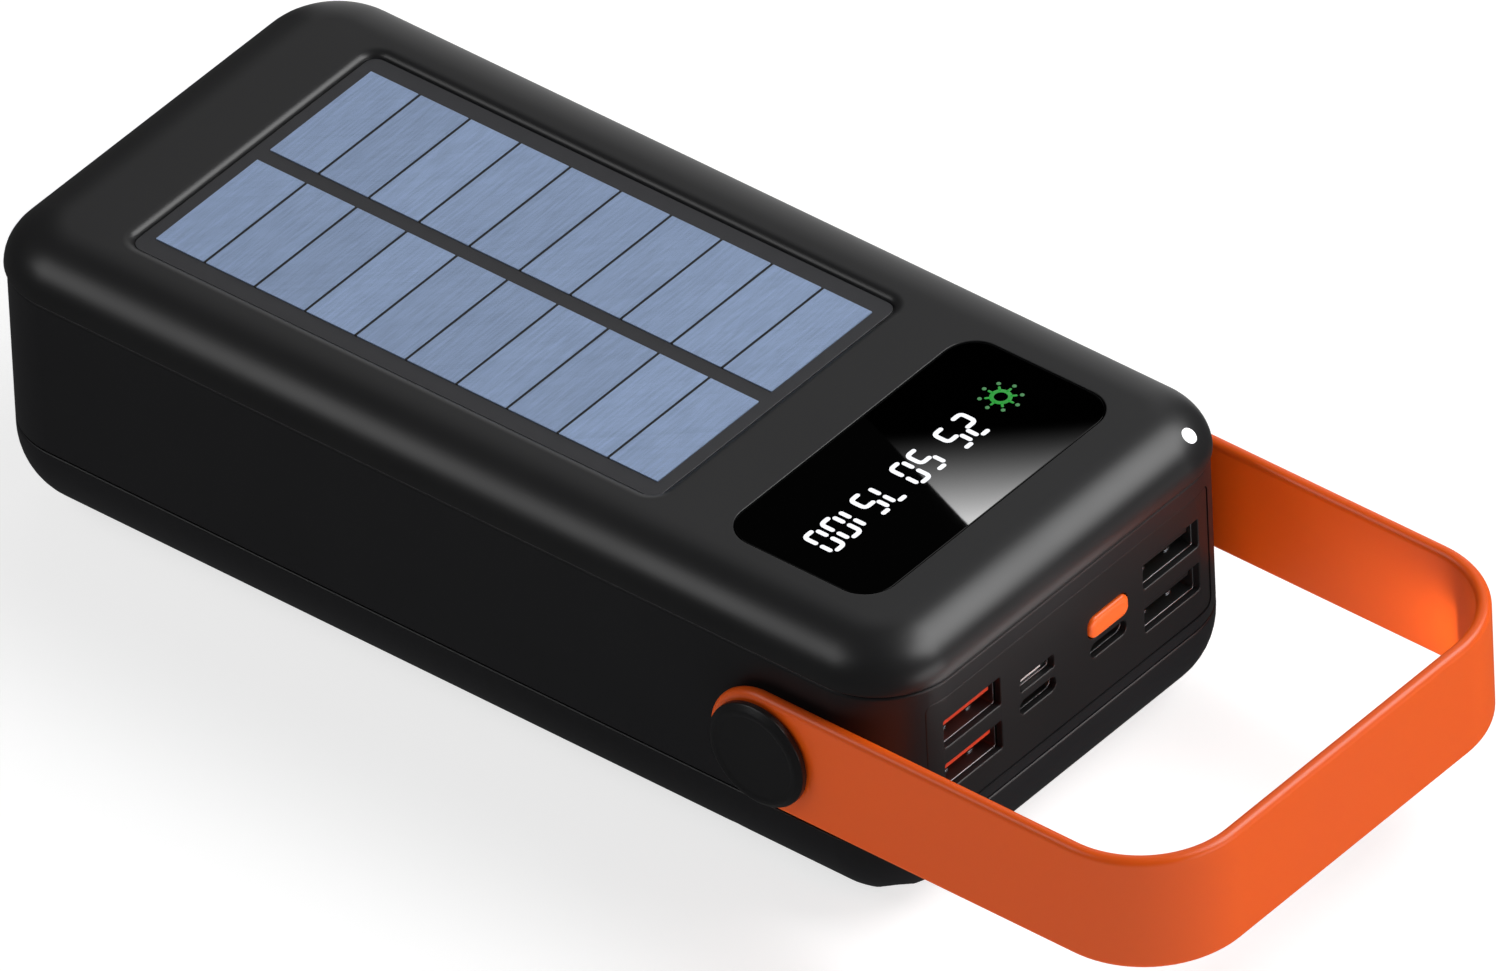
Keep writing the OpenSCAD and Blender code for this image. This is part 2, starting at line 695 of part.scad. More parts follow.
module pivot_cap(side) {
    on_pivot(side) difference() {
        rotate_extrude() polygon([[0, cap_in_x], [cap_r, cap_in_x], [cap_r, cap_in_x + cap_t - 0.7],
            [cap_r - 0.9, cap_in_x + cap_t], [0, cap_in_x + cap_t]]);
        translate([0, 0, cap_in_x - 1]) cylinder(r = pivot_screw_r + 0.03, h = 2);
    }
}

module pivot_cap_left() color("#1c1c1e") pivot_cap(-1);

module pivot_cap_right() color("#1c1c1e") pivot_cap(1);

module pan_screw(r, head_r, head_t, length) {
    difference() {
        union() {
            translate([0, 0, -head_t]) cylinder(r = head_r, h = head_t);
            cylinder(r = r, h = length);
        }
        translate([0, 0, -head_t - 1]) cylinder(r = head_r * 0.42, h = head_t / 2 + 1, $fn = 6);
    }
}

module pivot_screws() color("#8f9296") for (side = [-1, 1]) on_pivot(side)
    translate([0, 0, cavity_hx]) pan_screw(pivot_screw_r, 2.7, 1.8, cap_in_x + 0.9 - cavity_hx);

module case_screws() color("#8f9296") at_screws() translate([0, 0, screw_seat_z])
    pan_screw(screw_r, 2.6, 1.9, screw_top_z - screw_seat_z);

module board_screws() color("#8f9296") {
    for (p = board_studs) translate([p[0], p[1], main_board_top]) mirror([0, 0, 1])
        pan_screw(0.8, 1.8, 1.2, 5.4);
    for (p = display_studs) translate([p[0], p[1], display_board_z])
        pan_screw(0.8, 1.8, 1.2, 3.9);
}

top_cover();
mid_frame();
bottom_cover();
lid_gasket();
base_gasket();
port_panel();
solar_board();
solar_cells();
solar_film();
display_window();
display_digits();
sun_icon();
digit_module();
display_board();
display_ribbon();
status_led();
power_button();
tact_switch();
usb_shells();
usb_tongues_fast();
usb_tongues_standard();
micro_usb_shell();
micro_usb_tongue();
type_c_shells();
type_c_tongues();
input_board();
header_pins();
main_board();
inductors();
control_chips();
capacitors();
battery_cells();
cell_holders();
nickel_strips();
battery_lead_positive();
battery_lead_negative();
solar_leads();
insulation_sheet();
foam_pad();
handle();
pivot_bush_left();
pivot_bush_right();
pivot_washer_left();
pivot_washer_right();
pivot_cap_left();
pivot_cap_right();
pivot_screws();
case_screws();
board_screws();
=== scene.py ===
"""Looks of the solar power bank: its shells, panel, display, sockets and handle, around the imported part.

Outlines and profiles are in millimetres, and piece() turns them into metres in the part's own frame.
"""

import json
import math

import bmesh
import bpy
from mathutils import Matrix, Vector


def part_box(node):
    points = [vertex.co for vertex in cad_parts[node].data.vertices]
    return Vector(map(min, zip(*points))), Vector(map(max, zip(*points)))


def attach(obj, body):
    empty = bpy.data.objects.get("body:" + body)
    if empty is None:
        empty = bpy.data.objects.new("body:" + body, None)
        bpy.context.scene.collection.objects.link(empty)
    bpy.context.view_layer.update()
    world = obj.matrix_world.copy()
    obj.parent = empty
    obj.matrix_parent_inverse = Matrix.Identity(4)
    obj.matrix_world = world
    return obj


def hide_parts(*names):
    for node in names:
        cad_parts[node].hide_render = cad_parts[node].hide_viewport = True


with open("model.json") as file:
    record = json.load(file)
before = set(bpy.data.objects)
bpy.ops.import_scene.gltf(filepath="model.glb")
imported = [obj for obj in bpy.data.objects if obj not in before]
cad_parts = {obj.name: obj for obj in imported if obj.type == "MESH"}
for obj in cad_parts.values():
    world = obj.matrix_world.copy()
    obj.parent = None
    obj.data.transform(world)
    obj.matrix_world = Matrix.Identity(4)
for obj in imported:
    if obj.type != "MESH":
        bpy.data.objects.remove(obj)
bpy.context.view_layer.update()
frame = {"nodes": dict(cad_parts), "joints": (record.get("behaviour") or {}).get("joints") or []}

MM = 0.001
SCENE = bpy.context.scene


# ---------- sizes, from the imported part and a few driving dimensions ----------

def box(node):
    """A node's lowest and highest corners, in millimetres."""
    low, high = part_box(node)
    return low / MM, high / MM


LID_LOW, LID = box("top_cover")
FRAME_LOW, FRAME = box("mid_frame")
BASE = box("bottom_cover")[1]
LID_GASKET_LOW, LID_GASKET = box("lid_gasket")
BASE_GASKET_LOW, BASE_GASKET = box("base_gasket")
PANEL_LOW, PANEL = box("port_panel")
HANDLE_LOW, HANDLE = box("handle")
WINDOW_LOW, WINDOW = box("display_window")
PIVOT = Vector(next(j for j in frame["joints"] if j["name"] == "handle_swing")["pos_m"]) / MM

# Shells: walls, the lips that hold them together, and how their corners and edges are rounded
WALL = 2.2
LIP_GAP = 0.2
LIP_T = 1.0
LID_LIP_ROOT = 1.25
BASE_LIP_ROOT = 1.2
CORNER_R = 13.9
FRAME_R = CORNER_R - (LID.x - FRAME.x)
FRAME_TOP_R = 0.7
FRAME_FOOT_R = 0.35
SEAM_R = 0.3
LID_EDGE_W = 10.2
LID_EDGE_INSIDE_W = 8.2
LID_CEILING_Z = LID.z - 2.8
BASE_EDGE_R = 14.3
GASKET_W = 1.2
GASKET_R = 0.1
CORNER_STEPS = 18
EDGE_STEPS = 16

# Case screws, sunk into the base from below
SCREW_SPOTS = [(33.8, 83.4), (34.2, -83.2), (36.4, -56.2)]
SCREW_SEAT_Z = 8
SCREW_BOSS_R = 3.9
SCREW_SINK_R = 2.9
SCREW_HOLE_R = 1.7
SCREW_BOSS_RISE = 1.25

# Solar panel in its recess, and the display window in its pocket
RECESS_SLOPE = 1.9
RECESS_GAP = 0.2
RECESS_Z = LID.z - 1.2
RECESS_STEPS = 10
RIM_R = 4.5
WINDOW_R = 5.5
WINDOW_GAP = 0.15
CELL_SIZE = (24.3, 9.5)
CELL_PITCH = 10
CELLS_LONG = 10
# How high the painted shadow strips between the cells stand
GAP_SHADOW_RISE = 0.12

# Digits and lamp symbol behind the window: each reading's place across, from the right
DIGIT_H = 6.8
DIGIT_W = 3.4
DIGIT_STEP = 4
STROKE = 0.9
LIT_STROKE = STROKE * 0.9
WAIST_GAP = 0.66
CORNER_GAP = 0.78
READINGS = [(10.6, "25"), (0.1, "50"), (-9.4, "75"), (-18.5, "100")]
SUN_RAYS = 8
SUN_RING_R = 1.8
SUN_RING_T = 0.7
SUN_RAY_FROM = 1.6
SUN_RAY_TO = 2.35
SUN_RAY_W = 0.42
SUN_DOT_R = 0.36
SUN_DOT_AT = 3.27

# Status lamp on the lid's rounded corner: where it is around the corner and up the edge
LED_ANGLE = math.radians(-70.3)
LED_TURN = math.radians(43.5)
LED_R = 1.35
LED_PROUD = 0.02
LED_DOME = 0.16
LED_DEPTH = 4

# Sockets and button: where they are, and the clear width and height inside each shell
USB_X = 23.9
USB_Z = (25.4, 33.8)
USB_INNER = (12.5, 5.12)
USB_DEPTH = 13
SMALL_PORT_X = 8.5
SMALL_DEPTH = 8
SMALL_BLOCK = (6, 8.8)
SMALL_TONGUE_BACK = 6.1
MICRO_Z = 31.5
MICRO_INNER = (7.5, 2.2)
TYPE_C_Z = 27.23
TYPE_C_INNER = (8.34, 2.56)
SHEET = 0.3
TONGUE_SETBACK = 0.15
BUTTON_Z = 31.8
BUTTON_SIZE = (9.2, 3.9)
BUTTON_R = 1.5
BUTTON_GAP = 0.2

# Port panel: its plate, and the half width, half height and corner of each kind of hole
PORT_PLATE_T = 1.18
PORT_CORNER_R = 1.38
PORT_CLEARANCE = 0.12
USB_HOLE = (6.7, 2.675, 0.4)
MICRO_HOLE = (4.05, 1.25, 0.5)
TYPE_C_HOLE = (4.3, 1.35, 1.2)
USB_HOLE_RIM = 0.22
SMALL_HOLE_RIM = 0.2

# Springs in the type-A sockets, each a leaf bowed towards the plug
LEAF_XS = (-3, 3)
LEAF_HALF = (3.4, 0.75)
LEAF_FOLDS = (-2.4, -1.4, -0.5, 0.5, 1.4, 2.4)
LEAF_AT = 5.5
LEAF_BOW = 0.4
LEAF_BOW_LENGTH = 7

# Handle and pivots
HANDLE_T = 2.5
HANDLE_CORNER_R = 18.1
HANDLE_EDGE_R = 1.2
HANDLE_BEND_STEPS = 24
BUSH_BORE_R = 5.05


# ---------- outlines and solids ----------

def rounded(half_x, half_y, radius, at=(0, 0), steps=CORNER_STEPS):
    """A rounded rectangle, as a function that gives its outline standing in by some distance."""
    def outline(inset=0.0):
        r = max(radius - inset, 0.02)
        points = []
        for quarter, (side_x, side_y) in enumerate(((1, 1), (-1, 1), (-1, -1), (1, -1))):
            straight = half_x - radius if quarter % 2 == 0 else half_y - radius
            for i in range(steps + 1 if straight > 1e-6 else steps):
                angle = (quarter + i / steps) * math.pi / 2
                points.append((at[0] + side_x * (half_x - inset - r) + r * math.cos(angle),
                               at[1] + side_y * (half_y - inset - r) + r * math.sin(angle)))
        return points
    return outline


def circle(radius, at=(0, 0), steps=CORNER_STEPS):
    """A round outline."""
    return rounded(radius, radius, radius, at, steps)


def stroke(points, width, steps=6):
    """The outline of a pen stroke along some points, with round ends."""
    line = [Vector(p) for p in points]

    def side(i):
        along = (line[min(i + 1, len(line) - 1)] - line[max(i - 1, 0)]).normalized()
        return Vector((-along.y, along.x))

    def cap(centre, start, half):
        return [tuple(centre + Matrix.Rotation(-math.pi * k / steps, 2) @ start * half)
                for k in range(1, steps)]

    def outline(inset=0.0):
        half = width / 2 - inset
        there = [tuple(p + side(i) * half) for i, p in enumerate(line)]
        back = [tuple(p - side(i) * half) for i, p in enumerate(line)][::-1]
        return there + cap(line[-1], side(len(line) - 1), half) + back + cap(line[0], -side(0), half)
    return outline


def fillet(radius, face, turn, steps=4):
    """Profile rows that turn from a flat face to the side wall; turn is 1 or -1, the way the wall goes."""
    angles = [i / steps * math.pi / 2 for i in range(steps + 1)]
    return [(radius * (1 - math.sin(a)), face + turn * radius * (1 - math.cos(a))) for a in angles]


def slab(start, end, start_radius, end_radius, steps=4):
    """The profile of a plate with rounded edges, from one flat face to the other."""
    turn = 1 if end > start else -1
    first = fillet(start_radius, start, turn, steps)
    return first + fillet(end_radius, end, -turn, steps)[::-1]


def bore(start, end, start_radius, end_radius):
    """The profile of a hole whose two rims are rounded over."""
    return [(-inset, height) for inset, height in slab(start, end, start_radius, end_radius)]


def bridge(bm, lower, upper):
    """Joins two rings of points with a band of faces."""
    for i in range(len(lower)):
        bm.faces.new((lower[i - 1], lower[i], upper[i], upper[i - 1]))


def close_flat(bm, loops):
    """Closes the flat area inside the first loop and outside the others."""
    if len(loops) == 1:
        bm.faces.new(loops[0])
        return
    pairs = [(loop[i - 1], loop[i]) for loop in loops for i in range(len(loop))]
    edges = [bm.edges.get(pair) or bm.edges.new(pair) for pair in pairs]
    bmesh.ops.triangle_fill(bm, edges=edges, use_beauty=True)


def solid(outline, profile, cuts=(), tube=False, into=None, place=None):
    """Adds a closed solid to a mesh. Profile rows are (how far in, how high), from one flat face to the
    other. A cut is (outline, profile, through), and starts on the first flat face."""
    bm = bmesh.new() if into is None else into
    made = []

    def stack(shape, rows):
        rings = [[bm.verts.new((x, y, height)) for x, y in shape(inset)] for inset, height in rows]
        for lower, upper in zip(rings, rings[1:]):
            bridge(bm, lower, upper)
        made.extend(v for ring in rings for v in ring)
        return rings

    rings = stack(outline, profile)
    if tube:
        bridge(bm, rings[-1], rings[0])
    else:
        first, last = [rings[0]], [rings[-1]]
        for shape, rows, through in cuts:
            hole = stack(shape, rows)
            first.append(hole[0])
            if through:
                last.append(hole[-1])
            else:
                close_flat(bm, [hole[-1]])
        close_flat(bm, first)
        close_flat(bm, last)
    if place:
        for v in made:
            v.co = place(v.co)
    return bm


def slice_across(bm, places):
    """Cuts a mesh into strips at these places along X, so that it can be bent."""
    for x in places:
        geometry = bm.verts[:] + bm.edges[:] + bm.faces[:]
        bmesh.ops.bisect_plane(bm, geom=geometry, dist=1e-5, plane_co=(x, 0, 0), plane_no=(1, 0, 0))


def as_object(name, bm):
    """Makes a Blender object of a mesh, with its faces turned outwards."""
    bmesh.ops.recalc_face_normals(bm, faces=bm.faces)
    mesh = bpy.data.meshes.new(name)
    bm.to_mesh(mesh)
    bm.free()
    obj = bpy.data.objects.new(name, mesh)
    SCENE.collection.objects.link(obj)
    return obj


def combine(bm, tool, operation):
    """Joins, cuts or trims one mesh with another, and gives the result."""
    body, cutter = as_object("body", bm), as_object("cutter", tool)
    modifier = body.modifiers.new("combine", "BOOLEAN")
    modifier.operation = operation
    modifier.object = cutter
    modifier.solver = "EXACT"
    result = bmesh.new()
    result.from_object(body, bpy.context.evaluated_depsgraph_get())
    for obj in (body, cutter):
        bpy.data.objects.remove(obj)
    return result


def piece(name, bm, material, slot, *nodes, body="case", sharp=32):
    """Finishes a mesh in millimetres as a piece that rides on a body and stands for CAD nodes."""
    for v in bm.verts:
        v.co *= MM
    for face in bm.faces:
        face.smooth = True
    obj = as_object(name, bm)
    obj.data.set_sharp_from_angle(angle=math.radians(sharp))
    obj.data.materials.append(material)
    shading = obj.modifiers.new("flat faces stay flat", "WEIGHTED_NORMAL")
    shading.keep_sharp = True
    shading.weight = 100
    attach(obj, body)
    if nodes:
        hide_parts(*nodes)
    return obj


def facing_out(x, z, y=0.0):
    """Places a shape drawn in width and height so that its depth runs back from the port end."""
    return lambda p: Vector((x + p.x, y + p.z, z + p.y))


# ---------- materials ----------

def linear(colour):
    """Turns an sRGB hex colour into the linear one that a shader uses."""
    channels = [int(colour[i:i + 2], 16) / 255 for i in (1, 3, 5)]
    return (*[c / 12.92 if c <= 0.04045 else ((c + 0.055) / 1.055) ** 2.4 for c in channels], 1.0)


def per_mm(size):
    """The scale at which a pattern repeats every so many millimetres."""
    return 1 / (size * MM)


def add(tree, kind, inputs=None, **settings):
    """Adds a node with its settings. Each input is a value or another node's output."""
    node = tree.nodes.new(kind)
    for name, value in settings.items():
        setattr(node, name, value)
    for name, value in (inputs or {}).items():
        if isinstance(value, bpy.types.NodeSocket):
            tree.links.new(value, node.inputs[name])
        else:
            node.inputs[name].default_value = value
    return node


def start(name):
    """A new material's node tree, emptied, and the piece's own coordinates."""
    material = bpy.data.materials.new(name)
    material.use_nodes = True
    tree = material.node_tree
    tree.nodes.clear()
    return material, tree, add(tree, "ShaderNodeTexCoord").outputs["Object"]


def end(material, tree, inputs):
    """Closes a material with its shader."""
    shader = add(tree, "ShaderNodeBsdfPrincipled", inputs)
    add(tree, "ShaderNodeOutputMaterial", {"Surface": shader.outputs["BSDF"]})
    return material


# The sockets by which a Mix node takes two colours and gives the blend
MIX_FIRST = 6
MIX_SECOND = 7
MIX_BLEND = 2
# A wave texture turns by this many radians over one unit of its scale.
WAVE_RADIANS = 20


def bands_per_mm(spacing):
    """The wave texture scale at which its bands stand so many millimetres apart."""
    return 2 * math.pi / (WAVE_RADIANS * spacing * MM)


def mottled(tree, place, colour, shade, size):
    """Drifts between two close colours over patches of some size. Gives the colour and the drift."""
    drift = add(tree, "ShaderNodeTexNoise", {"Vector": place, "Scale": per_mm(size), "Detail": 3.0})
    tone = add(tree, "ShaderNodeMix", {"Factor": drift.outputs["Fac"], MIX_FIRST: linear(colour),
                                       MIX_SECOND: linear(shade)}, data_type="RGBA")
    return tone.outputs[MIX_BLEND], drift.outputs["Fac"]


def grained(tree, place, size, depth):
    """A fine rough skin: a bump of some grain size and depth in millimetres."""
    grain = add(tree, "ShaderNodeTexNoise", {"Vector": place, "Scale": per_mm(size), "Detail": 2.0})
    bump = add(tree, "ShaderNodeBump", {"Height": grain.outputs["Fac"], "Distance": depth * MM})
    return bump.outputs["Normal"]


def moulded(name, colour, shade, roughness, grain, depth, ior=1.5, **extra):
    """A moulded plastic or rubber: its colour drifts a little, and its skin has the mould's grain."""
    material, tree, place = start(name)
    tone, drift = mottled(tree, place, colour, shade, 22)
    gloss = add(tree, "ShaderNodeMapRange",
                {"Value": drift, "To Min": roughness - 0.05, "To Max": roughness + 0.05})
    inputs = {"Base Color": tone, "Roughness": gloss.outputs["Result"], "IOR": ior,
              "Normal": grained(tree, place, grain, depth)}
    inputs.update({key.replace("_", " "): value for key, value in extra.items()})
    return end(material, tree, inputs)


def metal(name, colour, shade, roughness, grain, depth, stretch=(1, 1, 1)):
    """A metal whose polish or plating shows as fine marks, drawn out along an axis by stretch."""
    material, tree, place = start(name)
    along = add(tree, "ShaderNodeMapping", {"Vector": place, "Scale": stretch}).outputs["Vector"]
    tone, drift = mottled(tree, along, colour, shade, 3)
    gloss = add(tree, "ShaderNodeMapRange",
                {"Value": drift, "To Min": roughness - 0.08, "To Max": roughness + 0.08})
    return end(material, tree, {"Base Color": tone, "Roughness": gloss.outputs["Result"],
                                "Metallic": 1.0, "Normal": grained(tree, along, grain, depth)})


def lit(name, colour, edge, strength):
    """A lit shape behind the window: an LED's diffuser, a little uneven from side to side."""
    material, tree, place = start(name)
    tone, _ = mottled(tree, place, colour, edge, 1.5)
    return end(material, tree, {"Base Color": linear("#101010"), "Roughness": 0.4,
                                "Emission Color": tone, "Emission Strength": strength})


def silicon_cells():
    """Screen-printed silicon cells under resin: a blue nitride coat, drawn light blue-grey as painted
    reflection of the bright studio, with faint print lines across the panel, each cell a shade apart. The
    lines are 0.1 mm apart on the real ones, drawn at 0.45 mm."""
    material, tree, place = start("silicon_cells_nitride_painted_reflection")
    along = add(tree, "ShaderNodeMapping", {"Vector": place, "Scale": (0.07, 1, 1)}).outputs["Vector"]
    lines = add(tree, "ShaderNodeTexNoise", {"Vector": along, "Scale": per_mm(0.45), "Detail": 4.0})
    # Painted reflection: this light blue-grey stands in for the studio mirrored in the cells' darker blue
    # coat.
    tone, _ = mottled(tree, place, "#9BB2D8", "#A5BCE2", 6)
    each = add(tree, "ShaderNodeNewGeometry").outputs["Random Per Island"]
    shade = add(tree, "ShaderNodeMapRange", {"Value": each, "To Min": 0.92, "To Max": 1.06})
    streak = add(tree, "ShaderNodeMapRange", {"Value": lines.outputs["Fac"], "From Min": 0.3,
                                              "From Max": 0.7, "To Min": 0.86, "To Max": 1.08})
    both = add(tree, "ShaderNodeMath", {0: shade.outputs["Result"], 1: streak.outputs["Result"]},
               operation="MULTIPLY")
    colour = add(tree, "ShaderNodeVectorMath", {0: tone, "Scale": both.outputs["Value"]},
                 operation="SCALE")
    bump = add(tree, "ShaderNodeBump", {"Height": lines.outputs["Fac"], "Distance": 0.01 * MM})
    return end(material, tree, {"Base Color": colour.outputs["Vector"], "Roughness": 0.5,
                                "Coat Weight": 0.35, "Coat Roughness": 0.3,
                                "Normal": bump.outputs["Normal"]})


def fibre_board(name, colour, shade, weave, roughness, coat):
    """Glass-fibre laminate under a coat: the weave of the cloth shows faintly through. Its threads are
    0.5 mm apart on the real one, too fine to show, and are drawn 3 to 4 mm apart."""
    material, tree, place = start(name)
    tone, _ = mottled(tree, place, colour, shade, 4)
    across = add(tree, "ShaderNodeTexWave", {"Vector": place, "Scale": bands_per_mm(weave),
                                             "Distortion": 1.0}, bands_direction="X")
    down = add(tree, "ShaderNodeTexWave", {"Vector": place, "Scale": bands_per_mm(weave),
                                           "Distortion": 1.0}, bands_direction="Y")
    cloth = add(tree, "ShaderNodeMath", {0: across.outputs["Fac"], 1: down.outputs["Fac"]},
                operation="MULTIPLY")
    bump = add(tree, "ShaderNodeBump", {"Height": cloth.outputs["Value"], "Distance": 0.015 * MM})
    return end(material, tree, {"Base Color": tone, "Roughness": roughness, "Coat Weight": coat,
                                "Coat Roughness": 0.2, "Normal": bump.outputs["Normal"]})


def clear_resin():
    """Epoxy poured thin over the cells: nearly invisible, with a soft sheen and tiny ripples."""
    material, tree, place = start("solar_resin_clear")
    tone, _ = mottled(tree, place, "#1B1D22", "#22252B", 8)
    return end(material, tree, {"Base Color": tone, "Roughness": 0.25, "Alpha": 0.06,
                                "Normal": grained(tree, place, 1.2, 0.006)})


def window_acrylic():
    """Smoked acrylic, polished, black behind: it mirrors the studio like dark water. Its anti-glare coat
    takes off most of the mirror, so the specular level is well under that of bare acrylic."""
    material, tree, place = start("window_acrylic_smoked")
    tone, _ = mottled(tree, place, "#000000", "#010101", 10)
    return end(material, tree, {"Base Color": tone, "Roughness": 0.005, "IOR": 1.49,
                                "Specular IOR Level": 0.08})


def banded(name, colour, band, spacing, direction, roughness, **extra):
    """A film or sleeve with even bands, so many millimetres apart."""
    material, tree, place = start(name)
    wave = add(tree, "ShaderNodeTexWave", {"Vector": place, "Scale": bands_per_mm(spacing),
                                           "Distortion": 0.4}, bands_direction=direction)
    tone = add(tree, "ShaderNodeMix", {"Factor": wave.outputs["Fac"], MIX_FIRST: linear(colour),
                                       MIX_SECOND: linear(band)}, data_type="RGBA")
    inputs = {"Base Color": tone.outputs[MIX_BLEND], "Roughness": roughness,
              "Normal": grained(tree, place, 0.6, 0.01)}
    inputs.update({key.replace("_", " "): value for key, value in extra.items()})
    return end(material, tree, inputs)


# The shells are ABS with a spark-eroded mould skin: satin black, with a soft sheen on rounded edges.
# That grain is 0.1 mm on the real shells, too fine to show, and is drawn at 0.3 mm.
LID_ABS = moulded("lid_abs_satin", "#19191A", "#1D1D1E", 0.36, 0.3, 0.003)
# The frame and base are the same ABS, drawn a shade darker than the lid as painted shade on their steep
# sides.
CASE_ABS_SHADED = moulded("case_abs_satin_painted_shade", "#151517", "#18181A", 0.42, 0.3, 0.003)
# The port panel is ABS from a finer mould, drawn a shade darker than the lid as painted shade that offsets
# the front and socket lamps lighting it.
PORT_ABS_SHADED = moulded("port_panel_abs_fine_painted_shade", "#151415", "#181718", 0.42, 0.25, 0.003)
# The handle is unpainted orange ABS, a little see-through, so its thin edges glow and its shade is warm.
HANDLE_ABS = moulded("handle_abs_orange", "#F5600E", "#F25C0C", 0.36, 0.4, 0.003,
                     Subsurface_Weight=0.12, Subsurface_Radius=(0.004, 0.0015, 0.0006),
                     Subsurface_Scale=0.4)
# The button is the same plastic in a lighter orange, with one soft highlight on its crown.
BUTTON_ABS = moulded("button_abs_orange", "#FF6C1C", "#FC6819", 0.38, 0.3, 0.002)
# The pivot caps are black acetal from a smooth mould, a little waxy, with a low sheen on the rim.
CAP_ACETAL = moulded("cap_acetal_black", "#151516", "#19191A", 0.34, 0.5, 0.002, ior=1.48)
# The seals are nitrile rubber: dull and deep black, a dark line between the shells.
SEAL_RUBBER = moulded("seal_nitrile_rubber", "#060607", "#0A0A0B", 0.8, 0.4, 0.01, ior=1.52)
# The pivot washers are natural nylon, moulded: milky white, soft and slippery to the eye.
NYLON = moulded("washer_nylon_natural", "#E6E2D6", "#DCD8CC", 0.45, 0.5, 0.004, ior=1.53)
# The fast sockets have tongues of orange PBT, glossy where the mould was polished.
FAST_INSULATOR = moulded("insulator_pbt_orange", "#D9431A", "#C93A15", 0.3, 0.3, 0.002, ior=1.55)
# The others are liquid-crystal polymer: matt black, or a clean bright white, with a faint flow grain.
DARK_INSULATOR = moulded("insulator_lcp_black", "#0D0D0E", "#111112", 0.5, 0.3, 0.003, ior=1.6)
WHITE_INSULATOR = moulded("insulator_lcp_white", "#F4F4F2", "#ECECEA", 0.35, 0.3, 0.002, ior=1.6)
# The cell holders are dark grey ABS straight from a plain mould, dull and slightly rough.
HOLDER_ABS = moulded("cell_holder_abs", "#22242A", "#292B31", 0.5, 0.4, 0.005)
# The chips are filled epoxy, moulded with a fine matt skin like slate.
CHIP_EPOXY = moulded("chip_epoxy_black", "#121213", "#1A1A1C", 0.6, 0.12, 0.006, ior=1.55)
# The chokes are sintered ferrite, dark grey and gritty like fired clay.
FERRITE = moulded("choke_ferrite_sintered", "#3B3B3F", "#47474B", 0.65, 0.2, 0.02, ior=2.0)
# The leads are extruded silicone: soft-looking, with a dusty sheen along their length.
LEAD_RED = moulded("lead_silicone_red", "#B3231B", "#A51F18", 0.5, 0.5, 0.006, ior=1.43)
LEAD_BLACK = moulded("lead_silicone_black", "#131314", "#1A1A1B", 0.5, 0.5, 0.006, ior=1.43)
# The insulation sheet is pressed fish paper, a dry buff card with visible fibres.
FIBRE_PAPER = moulded("insulation_fish_paper", "#D5CFBC", "#C8C1AD", 0.8, 0.6, 0.02)
# The pad is open-cell polyurethane foam, dark grey, whose pores swallow the light.
FOAM = moulded("pad_polyurethane_foam", "#3F3F42", "#4B4B4E", 0.9, 0.5, 0.12)
# The gaps between cells hold dull black strips: painted shadow for the shade that falls in them, which stays
# dull under the clear coat.
GAP_SHADOW_BLACK = moulded("cell_gap_painted_shadow", "#0A0A0B", "#101011", 0.6, 0.3, 0.002, ior=1.55)
# The socket shells are rolled steel with tin plating: bright and cool, with faint lines along the roll.
SHELL_STEEL = metal("socket_steel_tin_plated", "#A9ABAE", "#8F9194", 0.32, 0.25, 0.002, (1, 0.1, 1))
# The screws are zinc-plated steel, a bluish grey with a soft, uneven shine.
SCREW_STEEL = metal("screw_steel_zinc_plated", "#9A9DA1", "#83868B", 0.38, 0.3, 0.004)
# The contacts are bronze with a flash of gold, warm and bright like foil.
CONTACT_GOLD = metal("contact_bronze_gold_flash", "#D9B25E", "#C89F4C", 0.28, 0.2, 0.001)
# The strips that join the cells are rolled nickel: pale and yellowish, with lines along the roll.
NICKEL = metal("strip_nickel_rolled", "#C9C8C2", "#B7B6B0", 0.3, 0.2, 0.003, (0.1, 1, 1))
# The capacitors' cans are drawn aluminium, light grey and satin.
CAN_ALUMINIUM = metal("capacitor_aluminium_drawn", "#C4C6CA", "#B3B5B9", 0.35, 0.3, 0.003)
# The pivot bushes are turned steel, with fine tool rings that catch the light.
BUSH_STEEL = metal("bush_steel_turned", "#BFC1C4", "#A9ABAE", 0.25, 0.15, 0.002, (8, 1, 1))
# The solar panel's backing is black-dyed laminate under resin: a warm dark grey with a dull shine.
SOLAR_BOARD = fibre_board("solar_board_laminate", "#323235", "#38383B", 3.77, 0.5, 0.2)
# The circuit boards are laminate under green solder mask, glossy like lacquer.
CIRCUIT_BOARD = fibre_board("circuit_board_green_mask", "#14522F", "#1C6239", 3.14, 0.4, 0.5)
# The cells' light blue-grey colour is painted reflection.
SOLAR_CELLS_PAINTED_REFLECTION = silicon_cells()
SOLAR_RESIN = clear_resin()
WINDOW_ACRYLIC = window_acrylic()
# The ribbon is polyimide film, amber and shiny, with copper traces showing through as darker bands.
# They are 1 mm apart on the real one, and are drawn at 6 mm.
RIBBON_FILM = banded("ribbon_polyimide_traces", "#B98A4A", "#8F6430", 6.28, "X", 0.35)
# The cells' sleeves are heat-shrunk PVC: bright blue, glossy, with soft rings where the film drew tight.
CELL_SLEEVE = banded("cell_sleeve_pvc_shrunk", "#2F6FA8", "#2A659B", 5.03, "Z", 0.3, Coat_Weight=0.3)
